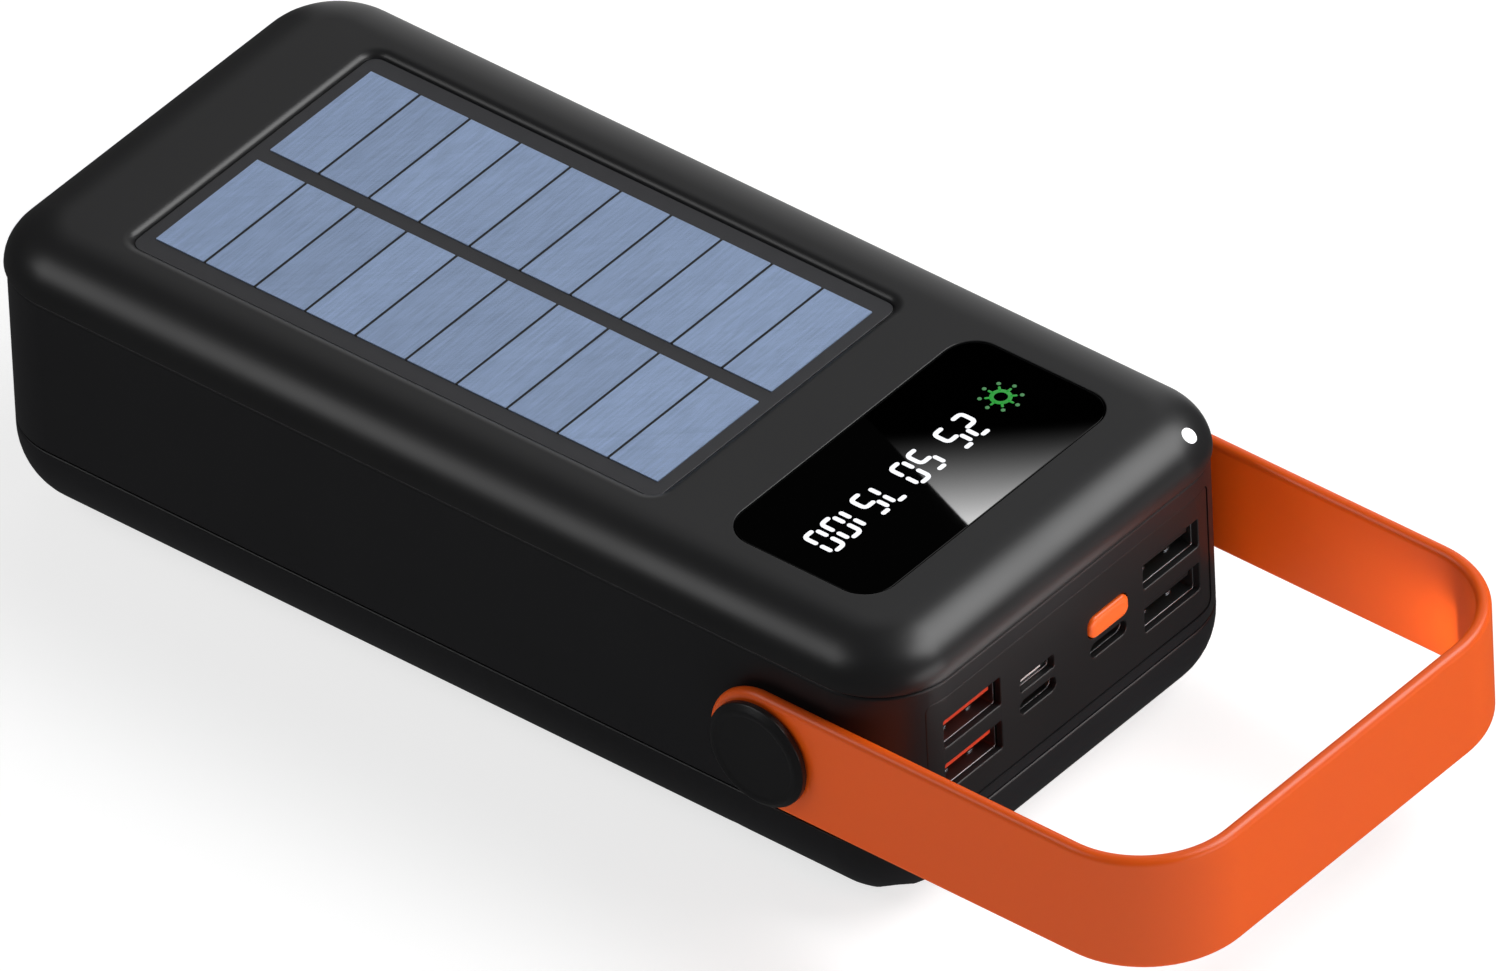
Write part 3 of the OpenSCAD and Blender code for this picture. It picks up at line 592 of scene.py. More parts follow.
# The digits and the lamp glow through white diffusers, flat and even; the symbol's are tinted green.
LIT_WHITE = lit("lit_digits_white", "#FFFFFF", "#F4F7FF", 1.1)
LIT_GREEN = lit("lit_symbol_green", "#178A2A", "#27A33A", 1.0)
LIT_PALE_GREEN = lit("lit_symbol_pale_green", "#3F7D48", "#4E8F5A", 1.0)
LIT_LAMP = lit("status_lamp_white", "#FFFFFF", "#FDFDFF", 1.6)


# ---------- shells ----------

def quarter(width, height, foot, steps=EDGE_STEPS, low=0.0):
    """Profile rows up a quarter of an ellipse, from its foot to its top."""
    angles = [low + (math.pi / 2 - low) * i / steps for i in range(steps + 1)]
    return [(width * (1 - math.cos(a)), foot + height * math.sin(a)) for a in angles]


def lid():
    """The lid: a pillow edge over a thin wall, a recess that rolls in round the panel, and the window's."""
    foot = LID_GASKET.z
    lip_in = LID.x - FRAME.x + WALL + LIP_GAP
    root_z = foot + LID_LIP_ROOT
    outside = quarter(LID_EDGE_W, LID.z - foot, foot)[:0:-1]
    rim = fillet(SEAM_R, foot, 1)[::-1]
    lip = [(lip_in, foot), (lip_in, LID_LOW.z), (lip_in + LIP_T, LID_LOW.z), (lip_in + LIP_T, root_z)]
    height = LID_CEILING_Z - foot
    inside = quarter(LID_EDGE_INSIDE_W, height, foot, low=math.asin((root_z - foot) / height))
    profile = outside + rim + lip + [(inset + WALL, z) for inset, z in inside]
    board_low, board_high = box("solar_board")
    panel_y = (board_low.y + board_high.y) / 2
    half_x = board_high.x + RECESS_GAP + RECESS_SLOPE
    half_y = (board_high.y - board_low.y) / 2 + RECESS_GAP + RECESS_SLOPE
    top = LID.z
    depth = top - RECESS_Z
    turns = [math.pi / 2 * k / RECESS_STEPS for k in range(RECESS_STEPS + 1)]
    recess = [(RECESS_SLOPE * math.sin(a), top - depth * (1 - math.cos(a))) for a in turns]
    half_w = (WINDOW.y - WINDOW_LOW.y) / 2 + WINDOW_GAP
    window_y = (WINDOW.y + WINDOW_LOW.y) / 2
    pocket_floor = WINDOW_LOW.z - 0.05
    pocket = bore(top, pocket_floor, WINDOW_GAP, 0)
    return solid(rounded(LID.x, LID.y, CORNER_R), profile, cuts=[
        (rounded(half_x, half_y, RIM_R, (0, panel_y)), recess, False),
        (rounded(WINDOW.x + WINDOW_GAP, half_w, WINDOW_R + WINDOW_GAP, (0, window_y)), pocket, False)])


def frame_wall():
    """The frame: a straight wall all round, open at the port end where the port panel sits."""
    edges = slab(FRAME.z, FRAME_LOW.z, FRAME_TOP_R, FRAME_FOOT_R)
    profile = [(WALL, FRAME.z)] + edges + [(WALL, FRAME_LOW.z)]
    wall = solid(rounded(FRAME.x, FRAME.y, FRAME_R), profile, tube=True)
    middle_z = (PANEL.z + PANEL_LOW.z) / 2
    half_z = (PANEL.z - PANEL_LOW.z) / 2 + PORT_CLEARANCE
    opening = rounded(PANEL.x + PORT_CLEARANCE, half_z, PORT_CORNER_R + PORT_CLEARANCE, steps=8)
    well_outside = -5
    cutter = solid(opening, [(0, well_outside), (0, FRAME_R)], place=facing_out(0, middle_z, -FRAME.y))
    return combine(wall, cutter, "DIFFERENCE")


def base():
    """The base cover: a deep rounded edge, a lip inside the frame, and sunk bosses for the case screws."""
    foot = BASE_GASKET_LOW.z
    lip_in = WALL + LIP_GAP
    outside = [(inset, BASE_EDGE_R - z) for inset, z in quarter(BASE_EDGE_R, BASE_EDGE_R, 0)][::-1]
    inner_r = BASE_EDGE_R - WALL
    inside = [(inset + WALL, BASE_EDGE_R - z) for inset, z in quarter(inner_r, inner_r, 0, low=0.1)]
    root_z = foot - BASE_LIP_ROOT
    lip = [(lip_in, foot), (lip_in, BASE.z), (lip_in + LIP_T, BASE.z), (lip_in + LIP_T, root_z)]
    profile = outside + fillet(SEAM_R, foot, -1)[::-1] + lip + [(WALL, root_z)] + inside
    shell = solid(rounded(FRAME.x, FRAME.y, FRAME_R), profile)
    inner = rounded(FRAME.x - lip_in, FRAME.y - lip_in, FRAME_R - lip_in)
    boss_top = foot + SCREW_BOSS_RISE
    room = solid(inner, outside + [(0, boss_top)])
    below, past_top, boss_foot = -1, foot + 3, 0.5
    step_in = SCREW_SINK_R - SCREW_HOLE_R
    bosses, counterbores = bmesh.new(), bmesh.new()
    for x, y in SCREW_SPOTS:
        for side in (-1, 1):
            spot = (side * x, y)
            solid(circle(SCREW_BOSS_R, spot), [(0, boss_foot), (0, boss_top)], into=bosses)
            steps = [(0, below), (0, SCREW_SEAT_Z), (step_in, SCREW_SEAT_Z), (step_in, past_top)]
            solid(circle(SCREW_SINK_R, spot), steps, into=counterbores)
    bosses = combine(bosses, room, "INTERSECT")
    return combine(combine(shell, bosses, "UNION"), counterbores, "DIFFERENCE")


def gasket(low, high):
    """A flat cord of rubber pressed between two shells."""
    rows = slab(high.z, low.z, GASKET_R, GASKET_R) + [(GASKET_W, low.z), (GASKET_W, high.z)]
    stands_in = FRAME.x - high.x
    return solid(rounded(high.x, high.y, FRAME_R - stands_in), rows, tube=True)


def along_port_end(p):
    """Bends a plate drawn flat so that it follows the port end of the frame and its two corners."""
    straight = FRAME.x - FRAME_R
    radius = FRAME_R - (PANEL_LOW.y + FRAME.y)
    centre_y = PANEL_LOW.y + radius
    over = abs(p.x) - straight
    if over <= 0:
        return Vector((p.x, PANEL_LOW.y + p.z, p.y))
    angle = math.asin(over / radius)
    x = straight + (radius - p.z) * math.sin(angle)
    return Vector((math.copysign(x, p.x), centre_y - (radius - p.z) * math.cos(angle), p.y))


def port_panel():
    """The port panel: a plate with a rim, holes for seven sockets and the button, bent round the corners."""
    middle_z = (PANEL.z + PANEL_LOW.z) / 2
    half_z = (PANEL.z - PANEL_LOW.z) / 2
    holes = [(rounded(*USB_HOLE, (x, z), 5), USB_HOLE_RIM) for x in (-USB_X, USB_X) for z in USB_Z]
    holes.append((rounded(*MICRO_HOLE, (-SMALL_PORT_X, MICRO_Z), 5), SMALL_HOLE_RIM))
    for x in (-SMALL_PORT_X, SMALL_PORT_X):
        holes.append((rounded(*TYPE_C_HOLE, (x, TYPE_C_Z), 8), SMALL_HOLE_RIM))
    half_w, half_h = (size / 2 + BUTTON_GAP for size in BUTTON_SIZE)
    button_hole = rounded(half_w, half_h, BUTTON_R + BUTTON_GAP, (SMALL_PORT_X, BUTTON_Z), 8)
    holes.append((button_hole, SMALL_HOLE_RIM))
    cuts = [(shape, bore(0, PORT_PLATE_T, rim, 0), True) for shape, rim in holes]
    edges = slab(0, PORT_PLATE_T, 0.25, 0.05)
    bm = solid(rounded(PANEL.x, half_z, PORT_CORNER_R, (0, middle_z), 8), edges, cuts)
    straight = FRAME.x - FRAME_R
    bends = 7
    bend = [straight + (PANEL.x - straight) * k / bends for k in range(bends)]
    slice_across(bm, bend + [-x for x in bend])
    for v in bm.verts:
        v.co = along_port_end(v.co)
    return bm


# ---------- solar panel and display ----------

def plate(node, radius, edge, steps=8):
    """A rounded plate the size of a CAD node, with softened edges."""
    low, high = box(node)
    middle = (low + high) / 2
    outline = rounded((high.x - low.x) / 2, (high.y - low.y) / 2, radius, (middle.x, middle.y), steps)
    return solid(outline, slab(high.z, low.z, edge, edge / 2))


def cell_spot(side, place):
    """The middle of a cell, counted along its row from the front; half counts are the gaps between."""
    low, high = box("solar_cells")
    panel_y = (low.y + high.y) / 2
    return side * (high.x - CELL_SIZE[0] / 2), panel_y + (place - (CELLS_LONG - 1) / 2) * CELL_PITCH


def solar_cells():
    """Twenty printed cells in two rows, each a thin plate of its own."""
    low, high = box("solar_cells")
    bm = bmesh.new()
    for side in (-1, 1):
        for k in range(CELLS_LONG):
            outline = rounded(CELL_SIZE[0] / 2, CELL_SIZE[1] / 2, 0.12, cell_spot(side, k), 2)
            solid(outline, slab(high.z, low.z, 0.04, 0.01, 2), into=bm)
    return bm


def cell_gap_shadows():
    """Dull black strips in the gaps between neighbouring cells: painted shadow for the shade that falls
    there.
    """
    foot = box("solar_cells")[0].z
    half_gap = (CELL_PITCH - CELL_SIZE[1]) / 2 - 0.02
    bm = bmesh.new()
    for side in (-1, 1):
        for k in range(1, CELLS_LONG):
            outline = rounded(CELL_SIZE[0] / 2, half_gap, 0.05, cell_spot(side, k - 0.5), 1)
            solid(outline, [(0, foot + GAP_SHADOW_RISE), (0, foot + 0.01)], into=bm)
    return bm


# The strokes of each digit, by the points that they join: a b are the top corners, c d the ends of the
# waist and e f the bottom corners.
STROKES = {"0": ("efd", "ec", "db", "cab"), "1": ("bd", "df"), "2": ("ab", "bd", "dcef"),
           "5": ("ab", "ac", "cdfe"), "7": ("ab", "bd", "df")}


def digit_stroke(letters, bend=0.85, steps=5):
    """A pen path through some of a digit's points, stopped short at its ends and rounded at its bends."""
    half_x, half_y = (DIGIT_W - STROKE) / 2, (DIGIT_H - STROKE) / 2
    spots = {"a": (-1, 1), "b": (1, 1), "c": (-1, 0), "d": (1, 0), "e": (-1, -1), "f": (1, -1)}
    line = [Vector((spots[k][0] * half_x, spots[k][1] * half_y)) for k in letters]
    first_gap, last_gap = (WAIST_GAP if k in "cd" else CORNER_GAP for k in (letters[0], letters[-1]))
    path = [line[0] + (line[1] - line[0]).normalized() * first_gap]
    for before, corner, after in zip(line, line[1:], line[2:]):
        start_at = corner + (before - corner).normalized() * bend
        end_at = corner + (after - corner).normalized() * bend
        for k in range(steps + 1):
            t = k / steps
            path.append(start_at * (1 - t) ** 2 + corner * 2 * t * (1 - t) + end_at * t ** 2)
    path.append(line[-1] + (line[-2] - line[-1]).normalized() * last_gap)
    return path


def display_digits():
    """The four charge readings, read from the far end of the case, so they are turned half round."""
    low, high = box("display_digits")
    digits_y = (low.y + high.y) / 2
    bm = bmesh.new()
    for centre_x, digits in READINGS:
        for i, digit in enumerate(digits):
            x = (i - (len(digits) - 1) / 2) * DIGIT_STEP
            for letters in STROKES[digit]:
                path = [(centre_x - x - p.x, digits_y - p.y) for p in digit_stroke(letters)]
                solid(stroke(path, LIT_STROKE), slab(high.z, low.z, 0.03, 0, 2), into=bm)
    return bm


def sun_icon(dots):
    """The lamp symbol: a ring with eight stubby rays, or the faint dots beyond them."""
    low, high = box("sun_icon")
    centre = Vector(((low.x + high.x) / 2, (low.y + high.y) / 2))
    rows = slab(high.z, low.z, 0.02, 0, 2)
    bm = bmesh.new()
    if not dots:
        ring = rows + [(SUN_RING_T, low.z), (SUN_RING_T, high.z)]
        solid(circle(SUN_RING_R, centre), ring, tube=True, into=bm)
    for k in range(SUN_RAYS):
        angle = k * 2 * math.pi / SUN_RAYS
        ray = Vector((math.cos(angle), math.sin(angle)))
        if dots:
            solid(circle(SUN_DOT_R, centre + ray * SUN_DOT_AT, 4), rows, into=bm)
        else:
            line = [centre + ray * SUN_RAY_FROM, centre + ray * SUN_RAY_TO]
            solid(stroke(line, SUN_RAY_W), rows, into=bm)
    return bm


def led_place():
    """Where the status lamp sits on the lid's rounded corner, and which way it looks."""
    foot = LID_GASKET.z
    height = LID.z - foot
    plan_r = CORNER_R - LID_EDGE_W * (1 - math.cos(LED_TURN))
    spot = Vector((LID.x - CORNER_R + plan_r * math.cos(LED_ANGLE),
                   CORNER_R - LID.y + plan_r * math.sin(LED_ANGLE), foot + height * math.sin(LED_TURN)))
    tilt = math.atan2(math.cos(LED_TURN) / LID_EDGE_W, math.sin(LED_TURN) / height)
    return Matrix.Translation(spot) @ Matrix.Rotation(LED_ANGLE, 4, "Z") @ Matrix.Rotation(tilt, 4, "Y")


def status_lamp():
    """A light pipe whose clear face stands a hair out of the lid."""
    where = led_place()
    angles = (0.35, 0.7, 1.05, 1.35, math.pi / 2)
    dome = [(LED_R * (1 - math.sin(a)), LED_PROUD + LED_DOME * math.cos(a)) for a in angles]
    return solid(circle(LED_R, steps=10), dome + [(0, -LED_DEPTH)], place=lambda p: where @ p)


# ---------- sockets and button ----------

def shell_front():
    """How far back the sockets' shells start."""
    return box("usb_shells")[0].y


def socket_shell(bm, inner, radius, depth, x, z):
    """A folded sheet-metal shell with a rolled front edge."""
    roll = 0.15
    rows = [(0, roll), (0, depth), (SHEET, depth), (SHEET, roll), (SHEET * 0.8, 0.04), (SHEET / 2, 0),
            (SHEET * 0.2, 0.04)]
    outline = rounded(inner[0] / 2 + SHEET, inner[1] / 2 + SHEET, radius + SHEET, steps=5)
    solid(outline, rows, tube=True, into=bm, place=facing_out(x, z, shell_front()))


def spring_leaf(bm, x, wall, side):
    """One bowed spring on a type-A shell's upper or lower wall, where it presses on the plug."""
    front = shell_front()
    leaf = solid(rounded(*LEAF_HALF, 0.3, steps=2), slab(0.02, 0.2, 0.03, 0.03, 1))
    slice_across(leaf, LEAF_FOLDS)
    bent = {}
    for v in leaf.verts:
        along, across, out = v.co
        bow = LEAF_BOW * math.cos(along * math.pi / LEAF_BOW_LENGTH)
        bent[v] = bm.verts.new((x + across, front + LEAF_AT + along, wall - side * (bow + out)))
    for face in leaf.faces:
        bm.faces.new([bent[v] for v in face.verts])
    leaf.free()


def usb_shells():
    """Four type-A shells, each with two spring leaves above and two below."""
    bm = bmesh.new()
    for x in (-USB_X, USB_X):
        for z in USB_Z:
            socket_shell(bm, USB_INNER, 0.3, USB_DEPTH, x, z)
            for leaf_x in LEAF_XS:
                for side in (-1, 1):
                    spring_leaf(bm, x + leaf_x, z + side * USB_INNER[1] / 2, side)
    return bm


def contacts(bm, xs, z, y, width, length, thick):
    """A row of flat contacts on a tongue; thick is negative below it."""
    for x in xs:
        solid(rounded(width / 2, length / 2, width * 0.2, (x, y), 2), [(0, z), (0, z + thick)], into=bm)


def usb_tongues(xs):
    """The plastic tongue of each type-A socket, with the block that it grows from."""
    front = shell_front()
    fit = 0.05
    block_front, block_back = 10.5, 14.5
    tongue_up = 1.22
    block = rounded(USB_INNER[0] / 2 - fit, USB_INNER[1] / 2 - fit, 0.35, steps=3)
    block_rows = slab(block_front, block_back, 0.15, 0.15, 2)
    tongue = rounded(5.55, 0.92, 0.3, steps=3)
    tongue_rows = slab(TONGUE_SETBACK, block_front + 0.1, 0.2, 0, 3)
    bm = bmesh.new()
    for x in xs:
        for z in USB_Z:
            solid(block, block_rows, into=bm, place=facing_out(x, z, front))
            solid(tongue, tongue_rows, into=bm, place=facing_out(x, z + tongue_up, front))
    return bm


def usb_contacts():
    """Four gold contacts under each type-A tongue."""
    front = shell_front()
    bm = bmesh.new()
    for x in (-USB_X, USB_X):
        for z in USB_Z:
            xs = [x + k for k in (-3.5, -1, 1, 3.5)]
            contacts(bm, xs, z + 0.31, front + 5.2, 1.0, 8.0, -0.14)
    return bm


def micro_shell():
    """The micro socket's shell."""
    bm = bmesh.new()
    socket_shell(bm, MICRO_INNER, 0.4, SMALL_DEPTH, -SMALL_PORT_X, MICRO_Z)
    return bm


def micro_tongue():
    """The white tongue of the micro socket, right behind its opening, and the block behind it."""
    front = shell_front()
    tongue_down = 0.45
    bm = solid(rounded(3.6, 0.95, 0.3, steps=3), slab(*SMALL_BLOCK, 0.1, 0.1, 2),
               place=facing_out(-SMALL_PORT_X, MICRO_Z, front))
    solid(rounded(2.4, 0.3, 0.12, steps=3), slab(TONGUE_SETBACK, SMALL_TONGUE_BACK, 0.1, 0, 2), into=bm,
          place=facing_out(-SMALL_PORT_X, MICRO_Z - tongue_down, front))
    return bm


def type_c_shells():
    """The two type-C shells, drawn without a seam."""
    bm = bmesh.new()
    for x in (-SMALL_PORT_X, SMALL_PORT_X):
        socket_shell(bm, TYPE_C_INNER, 1.2, SMALL_DEPTH, x, TYPE_C_Z)
    return bm


def type_c_tongues():
    """The thin middle tongue of each type-C socket and the block behind it."""
    front = shell_front()
    bm = bmesh.new()
    for x in (-SMALL_PORT_X, SMALL_PORT_X):
        solid(rounded(4.1, 1.2, 1.1, steps=5), slab(*SMALL_BLOCK, 0.1, 0.1, 2), into=bm,
              place=facing_out(x, TYPE_C_Z, front))
        solid(rounded(3.3, 0.35, 0.2, steps=3), slab(0.8, SMALL_TONGUE_BACK, 0.12, 0, 2), into=bm,
              place=facing_out(x, TYPE_C_Z, front))
    return bm


def small_contacts():
    """Gold pads on both faces of the type-C tongues, and five on the micro tongue."""
    front = shell_front()
    bm = bmesh.new()
    type_c_pitch, micro_pitch = 0.5, 0.65
    for socket in (-SMALL_PORT_X, SMALL_PORT_X):
        xs = [socket + (k - 5.5) * type_c_pitch for k in range(12)]
        for face in (-1, 1):
            contacts(bm, xs, TYPE_C_Z + face * 0.34, front + 3.2, 0.26, 3.6, face * 0.05)
    xs = [-SMALL_PORT_X + (k - 2) * micro_pitch for k in range(5)]
    contacts(bm, xs, MICRO_Z - 0.74, front + 3, 0.36, 4, -0.06)
    return bm


def power_button():
    """The button: a crowned face, the flange that keeps it in, and the plunger that meets the switch."""
    front = box("power_button")[0].y
    back = PANEL_LOW.y + 1.2 - front
    flange_front, flange_back = back + 0.3, back + 1.3
    plunger_back = back + 3.2
    half_w, half_h = BUTTON_SIZE[0] / 2, BUTTON_SIZE[1] / 2
    crown = [(1.3, 0), (0.85, 0.02), (0.5, 0.08), (0.25, 0.19), (0.08, 0.38), (0, 0.6)]
    put = facing_out(SMALL_PORT_X, BUTTON_Z, front)
    cap_back = back + 0.5
    bm = solid(rounded(half_w, half_h, BUTTON_R, steps=10), crown + [(0, cap_back)], place=put)
    flange = rounded(half_w + 1, half_h - 0.3, BUTTON_R, steps=6)
    solid(flange, slab(flange_front, flange_back, 0.1, 0.1, 2), into=bm, place=put)
    plunger = rounded(1.2, 1.2, 0.3, steps=3)
    solid(plunger, slab(flange_back, plunger_back, 0, 0.2, 2), into=bm, place=put)
    return bm


# ---------- handle and pivots ----------

def strap_length():
    """Half the strap's length along its outside, from the middle of the crossbar to a pivot, its two
    straight stretches and the corner between them."""
    crossbar = HANDLE.x - HANDLE_CORNER_R
    corner = HANDLE_CORNER_R * math.pi / 2
    arm = PIVOT.y - (HANDLE_LOW.y + HANDLE_CORNER_R)
    return crossbar, corner, arm


def along_strap(p):
    """Bends a flat strap into the U of the handle: X runs along its outside, Z is depth into it."""
    crossbar, corner, _ = strap_length()
    far = abs(p.x)
    angle = min(max(far - crossbar, 0) / HANDLE_CORNER_R, math.pi / 2)
    radius = HANDLE_CORNER_R - p.z
    x = min(far, crossbar) + radius * math.sin(angle)
    y = HANDLE_LOW.y + HANDLE_CORNER_R - radius * math.cos(angle) + max(far - crossbar - corner, 0)
    return Vector((math.copysign(x, p.x), y, PIVOT.z + p.y))


def handle():
    """The handle: one strap with round ends and rounded edges, bored at both pivots."""
    crossbar, corner, arm = strap_length()
    pivot = crossbar + corner + arm
    half_h = (HANDLE.z - HANDLE_LOW.z) / 2
    bores = [(circle(BUSH_BORE_R, (side * pivot, 0), 12), bore(0, HANDLE_T, 0.3, 0.3), True)
             for side in (-1, 1)]
    edge = slab(0, HANDLE_T, HANDLE_EDGE_R, HANDLE_EDGE_R, 7)
    bm = solid(rounded(pivot + half_h, half_h, half_h), edge, bores)
    bend = [crossbar + corner * k / HANDLE_BEND_STEPS for k in range(HANDLE_BEND_STEPS + 1)]
    slice_across(bm, bend + [-x for x in bend])
    for v in bm.verts:
        v.co = along_strap(v.co)
    return bm


def pivot_cap(side):
    """A pivot cap: a disc with a bevelled rim and a shallow dished face."""
    low, high = box("pivot_cap_left")
    radius = (high.y - low.y) / 2
    inner = -high.x
    outer = -low.x
    dish = [(2.2, -0.2), (1.9, -0.14), (1.6, -0.03), (1.35, 0), (1.0, -0.02), (0.85, -0.1)]
    bevel = [(0.12, -0.66), (0.02, -0.76), (0, -0.9)]
    rows = [(inset, outer + depth) for inset, depth in dish + bevel]
    back_r = 0.15

    def on_pivot(p):
        return Vector((side * p.z, PIVOT.y + p.x, PIVOT.z + p.y))
    return solid(circle(radius, steps=16), rows + [(0, inner + back_r), (back_r, inner)], place=on_pivot)


# ---------- put it together ----------

piece("lid", lid(), LID_ABS, "lid_plastic", "top_cover")
piece("frame_wall", frame_wall(), CASE_ABS_SHADED, "case_plastic", "mid_frame")
piece("base_shell", base(), CASE_ABS_SHADED, "case_plastic", "bottom_cover")
piece("lid_seal", gasket(LID_GASKET_LOW, LID_GASKET), SEAL_RUBBER, "seal_rubber", "lid_gasket")
piece("base_seal", gasket(BASE_GASKET_LOW, BASE_GASKET), SEAL_RUBBER, "seal_rubber", "base_gasket")
piece("port_plate", port_panel(), PORT_ABS_SHADED, "port_plastic", "port_panel")
piece("solar_backing_board", plate("solar_board", 2, 0.08), SOLAR_BOARD, "solar_backing", "solar_board")
piece("silicon_cells", solar_cells(), SOLAR_CELLS_PAINTED_REFLECTION, "solar_silicon", "solar_cells")
# Dull black strips between the cells: painted shadow in the gaps.
piece("cell_gap_shadow_strips", cell_gap_shadows(), GAP_SHADOW_BLACK, "solar_backing")
piece("solar_resin", plate("solar_film", 2, 0.06), SOLAR_RESIN, "solar_film", "solar_film")
piece("display_glass", plate("display_window", WINDOW_R, 0.18, 14), WINDOW_ACRYLIC, "window_gloss",
      "display_window")
piece("charge_digits", display_digits(), LIT_WHITE, "lit_white", "display_digits")
piece("lamp_symbol", sun_icon(False), LIT_GREEN, "lit_green", "sun_icon")
piece("lamp_symbol_dots", sun_icon(True), LIT_PALE_GREEN, "lit_green")
piece("status_lamp", status_lamp(), LIT_LAMP, "lit_white", "status_led")
piece("usb_socket_shells", usb_shells(), SHELL_STEEL, "plated_steel", "usb_shells")
piece("fast_tongues", usb_tongues([-USB_X]), FAST_INSULATOR, "fast_plastic", "usb_tongues_fast")
piece("standard_tongues", usb_tongues([USB_X]), DARK_INSULATOR, "black_plastic",
      "usb_tongues_standard")
piece("usb_contacts", usb_contacts(), CONTACT_GOLD, "gold_brass")
piece("micro_socket_shell", micro_shell(), SHELL_STEEL, "plated_steel", "micro_usb_shell")
piece("micro_socket_tongue", micro_tongue(), WHITE_INSULATOR, "white_plastic", "micro_usb_tongue")
piece("type_c_socket_shells", type_c_shells(), SHELL_STEEL, "plated_steel", "type_c_shells")
piece("type_c_socket_tongues", type_c_tongues(), DARK_INSULATOR, "black_plastic", "type_c_tongues")
piece("small_contacts", small_contacts(), CONTACT_GOLD, "gold_brass")
piece("button_cap", power_button(), BUTTON_ABS, "button_plastic", "power_button", body="power_button")
piece("carry_strap", handle(), HANDLE_ABS, "handle_plastic", "handle", body="handle")
piece("cap_left", pivot_cap(-1), CAP_ACETAL, "cap_plastic", "pivot_cap_left", sharp=40)
piece("cap_right", pivot_cap(1), CAP_ACETAL, "cap_plastic", "pivot_cap_right", sharp=40)

# What stays as the CAD has it, each with the finish of the real one
FINISHES = {
    "digit_module": WHITE_INSULATOR, "display_board": CIRCUIT_BOARD, "display_ribbon": RIBBON_FILM,
    "tact_switch": DARK_INSULATOR, "input_board": CIRCUIT_BOARD, "header_pins": CONTACT_GOLD,
    "main_board": CIRCUIT_BOARD, "inductors": FERRITE, "control_chips": CHIP_EPOXY,
    "capacitors": CAN_ALUMINIUM, "battery_cells": CELL_SLEEVE, "cell_holders": HOLDER_ABS,
    "nickel_strips": NICKEL, "battery_lead_positive": LEAD_RED, "battery_lead_negative": LEAD_BLACK,
    "solar_leads": LEAD_RED, "insulation_sheet": FIBRE_PAPER, "foam_pad": FOAM,
    "pivot_bush_left": BUSH_STEEL, "pivot_bush_right": BUSH_STEEL,
    "pivot_washer_left": NYLON, "pivot_washer_right": NYLON,
    "pivot_screws": SCREW_STEEL, "case_screws": SCREW_STEEL, "board_screws": SCREW_STEEL,
}
for node_name, finish in FINISHES.items():
    node_mesh = frame["nodes"][node_name].data
    node_mesh.materials.clear()
    node_mesh.materials.append(finish)


# ---------- camera, floor and studio ----------

# The camera, in metres: where it aims, from which side, and how far off
VIEW_AZIMUTH = math.radians(-48.9324)
VIEW_ELEVATION = math.radians(38.5952)
VIEW_ROLL = math.radians(2.736)
VIEW_AIM = Vector((0.00672, -0.02197, 0.02525))
VIEW_DISTANCE = 6.9221
VIEW_LENS = 1087.64
SENSOR_WIDTH = 36

# The lights and the table
CARD_LEVEL = 42
TABLE_HALF = 60.0
TABLE_DROP = 0.0002
TABLE_TONE = 0.52
TABLE_GLOW = 0.76
SKY_LEVEL = 0.06

LEVEL_PART = math.cos(VIEW_ELEVATION)
BACK = Vector((math.sin(VIEW_AZIMUTH) * LEVEL_PART, -math.cos(VIEW_AZIMUTH) * LEVEL_PART,
               math.sin(VIEW_ELEVATION)))


def set_camera():
    """A long lens from the left front corner, looking down."""
    level = Vector((math.cos(VIEW_AZIMUTH), math.sin(VIEW_AZIMUTH), 0))
    turn = Matrix((level, BACK.cross(level), BACK)).transposed() @ Matrix.Rotation(-VIEW_ROLL, 3, "Z")
    data = bpy.data.cameras.new("camera")
    data.lens = VIEW_LENS
    data.sensor_width = SENSOR_WIDTH
    data.clip_end = 100
    camera = bpy.data.objects.new("camera", data)
    camera.matrix_world = Matrix.Translation(VIEW_AIM + BACK * VIEW_DISTANCE) @ turn.to_4x4()
    SCENE.collection.objects.link(camera)
    SCENE.camera = camera


def set_floor():
    """A pale paper table, matt and even. It is lit from below as well, so that shadows stay faint."""
    material, tree, place = start("floor_paper_pale")
    tone, _ = mottled(tree, place, "#FBFBFB", "#F7F7F7", 300)
    dimmed = add(tree, "ShaderNodeVectorMath", {0: tone, "Scale": TABLE_TONE}, operation="SCALE")
    end(material, tree, {"Base Color": dimmed.outputs["Vector"], "Roughness": 0.9,
                         "Specular IOR Level": 0.1, "Emission Color": tone,
                         "Emission Strength": TABLE_GLOW})
    mesh = bpy.data.meshes.new("floor")
    corners = [(x * TABLE_HALF, y * TABLE_HALF, -TABLE_DROP) for x, y in ((-1, -1), (1, -1), (1, 1), (-1, 1))]
    mesh.from_pydata(corners, [], [(0, 1, 2, 3)])
    mesh.materials.append(material)
    floor = bpy.data.objects.new("floor", mesh)
    floor.visible_glossy = False
    SCENE.collection.objects.link(floor)


def softbox(name, direction, distance, size, power):
    """A square soft light that looks at the case from some direction."""
    data = bpy.data.lights.new(name, "AREA")
    data.shape = "RECTANGLE"
    data.size, data.size_y = size
    data.energy = power
    light = bpy.data.objects.new(name, data)
    light.visible_camera = False
    towards = Vector(direction).normalized()
    light.location = Vector(VIEW_AIM) + towards * distance
    light.rotation_mode = "QUATERNION"
    light.rotation_quaternion = towards.to_track_quat("Z", "Y")
    SCENE.collection.objects.link(light)


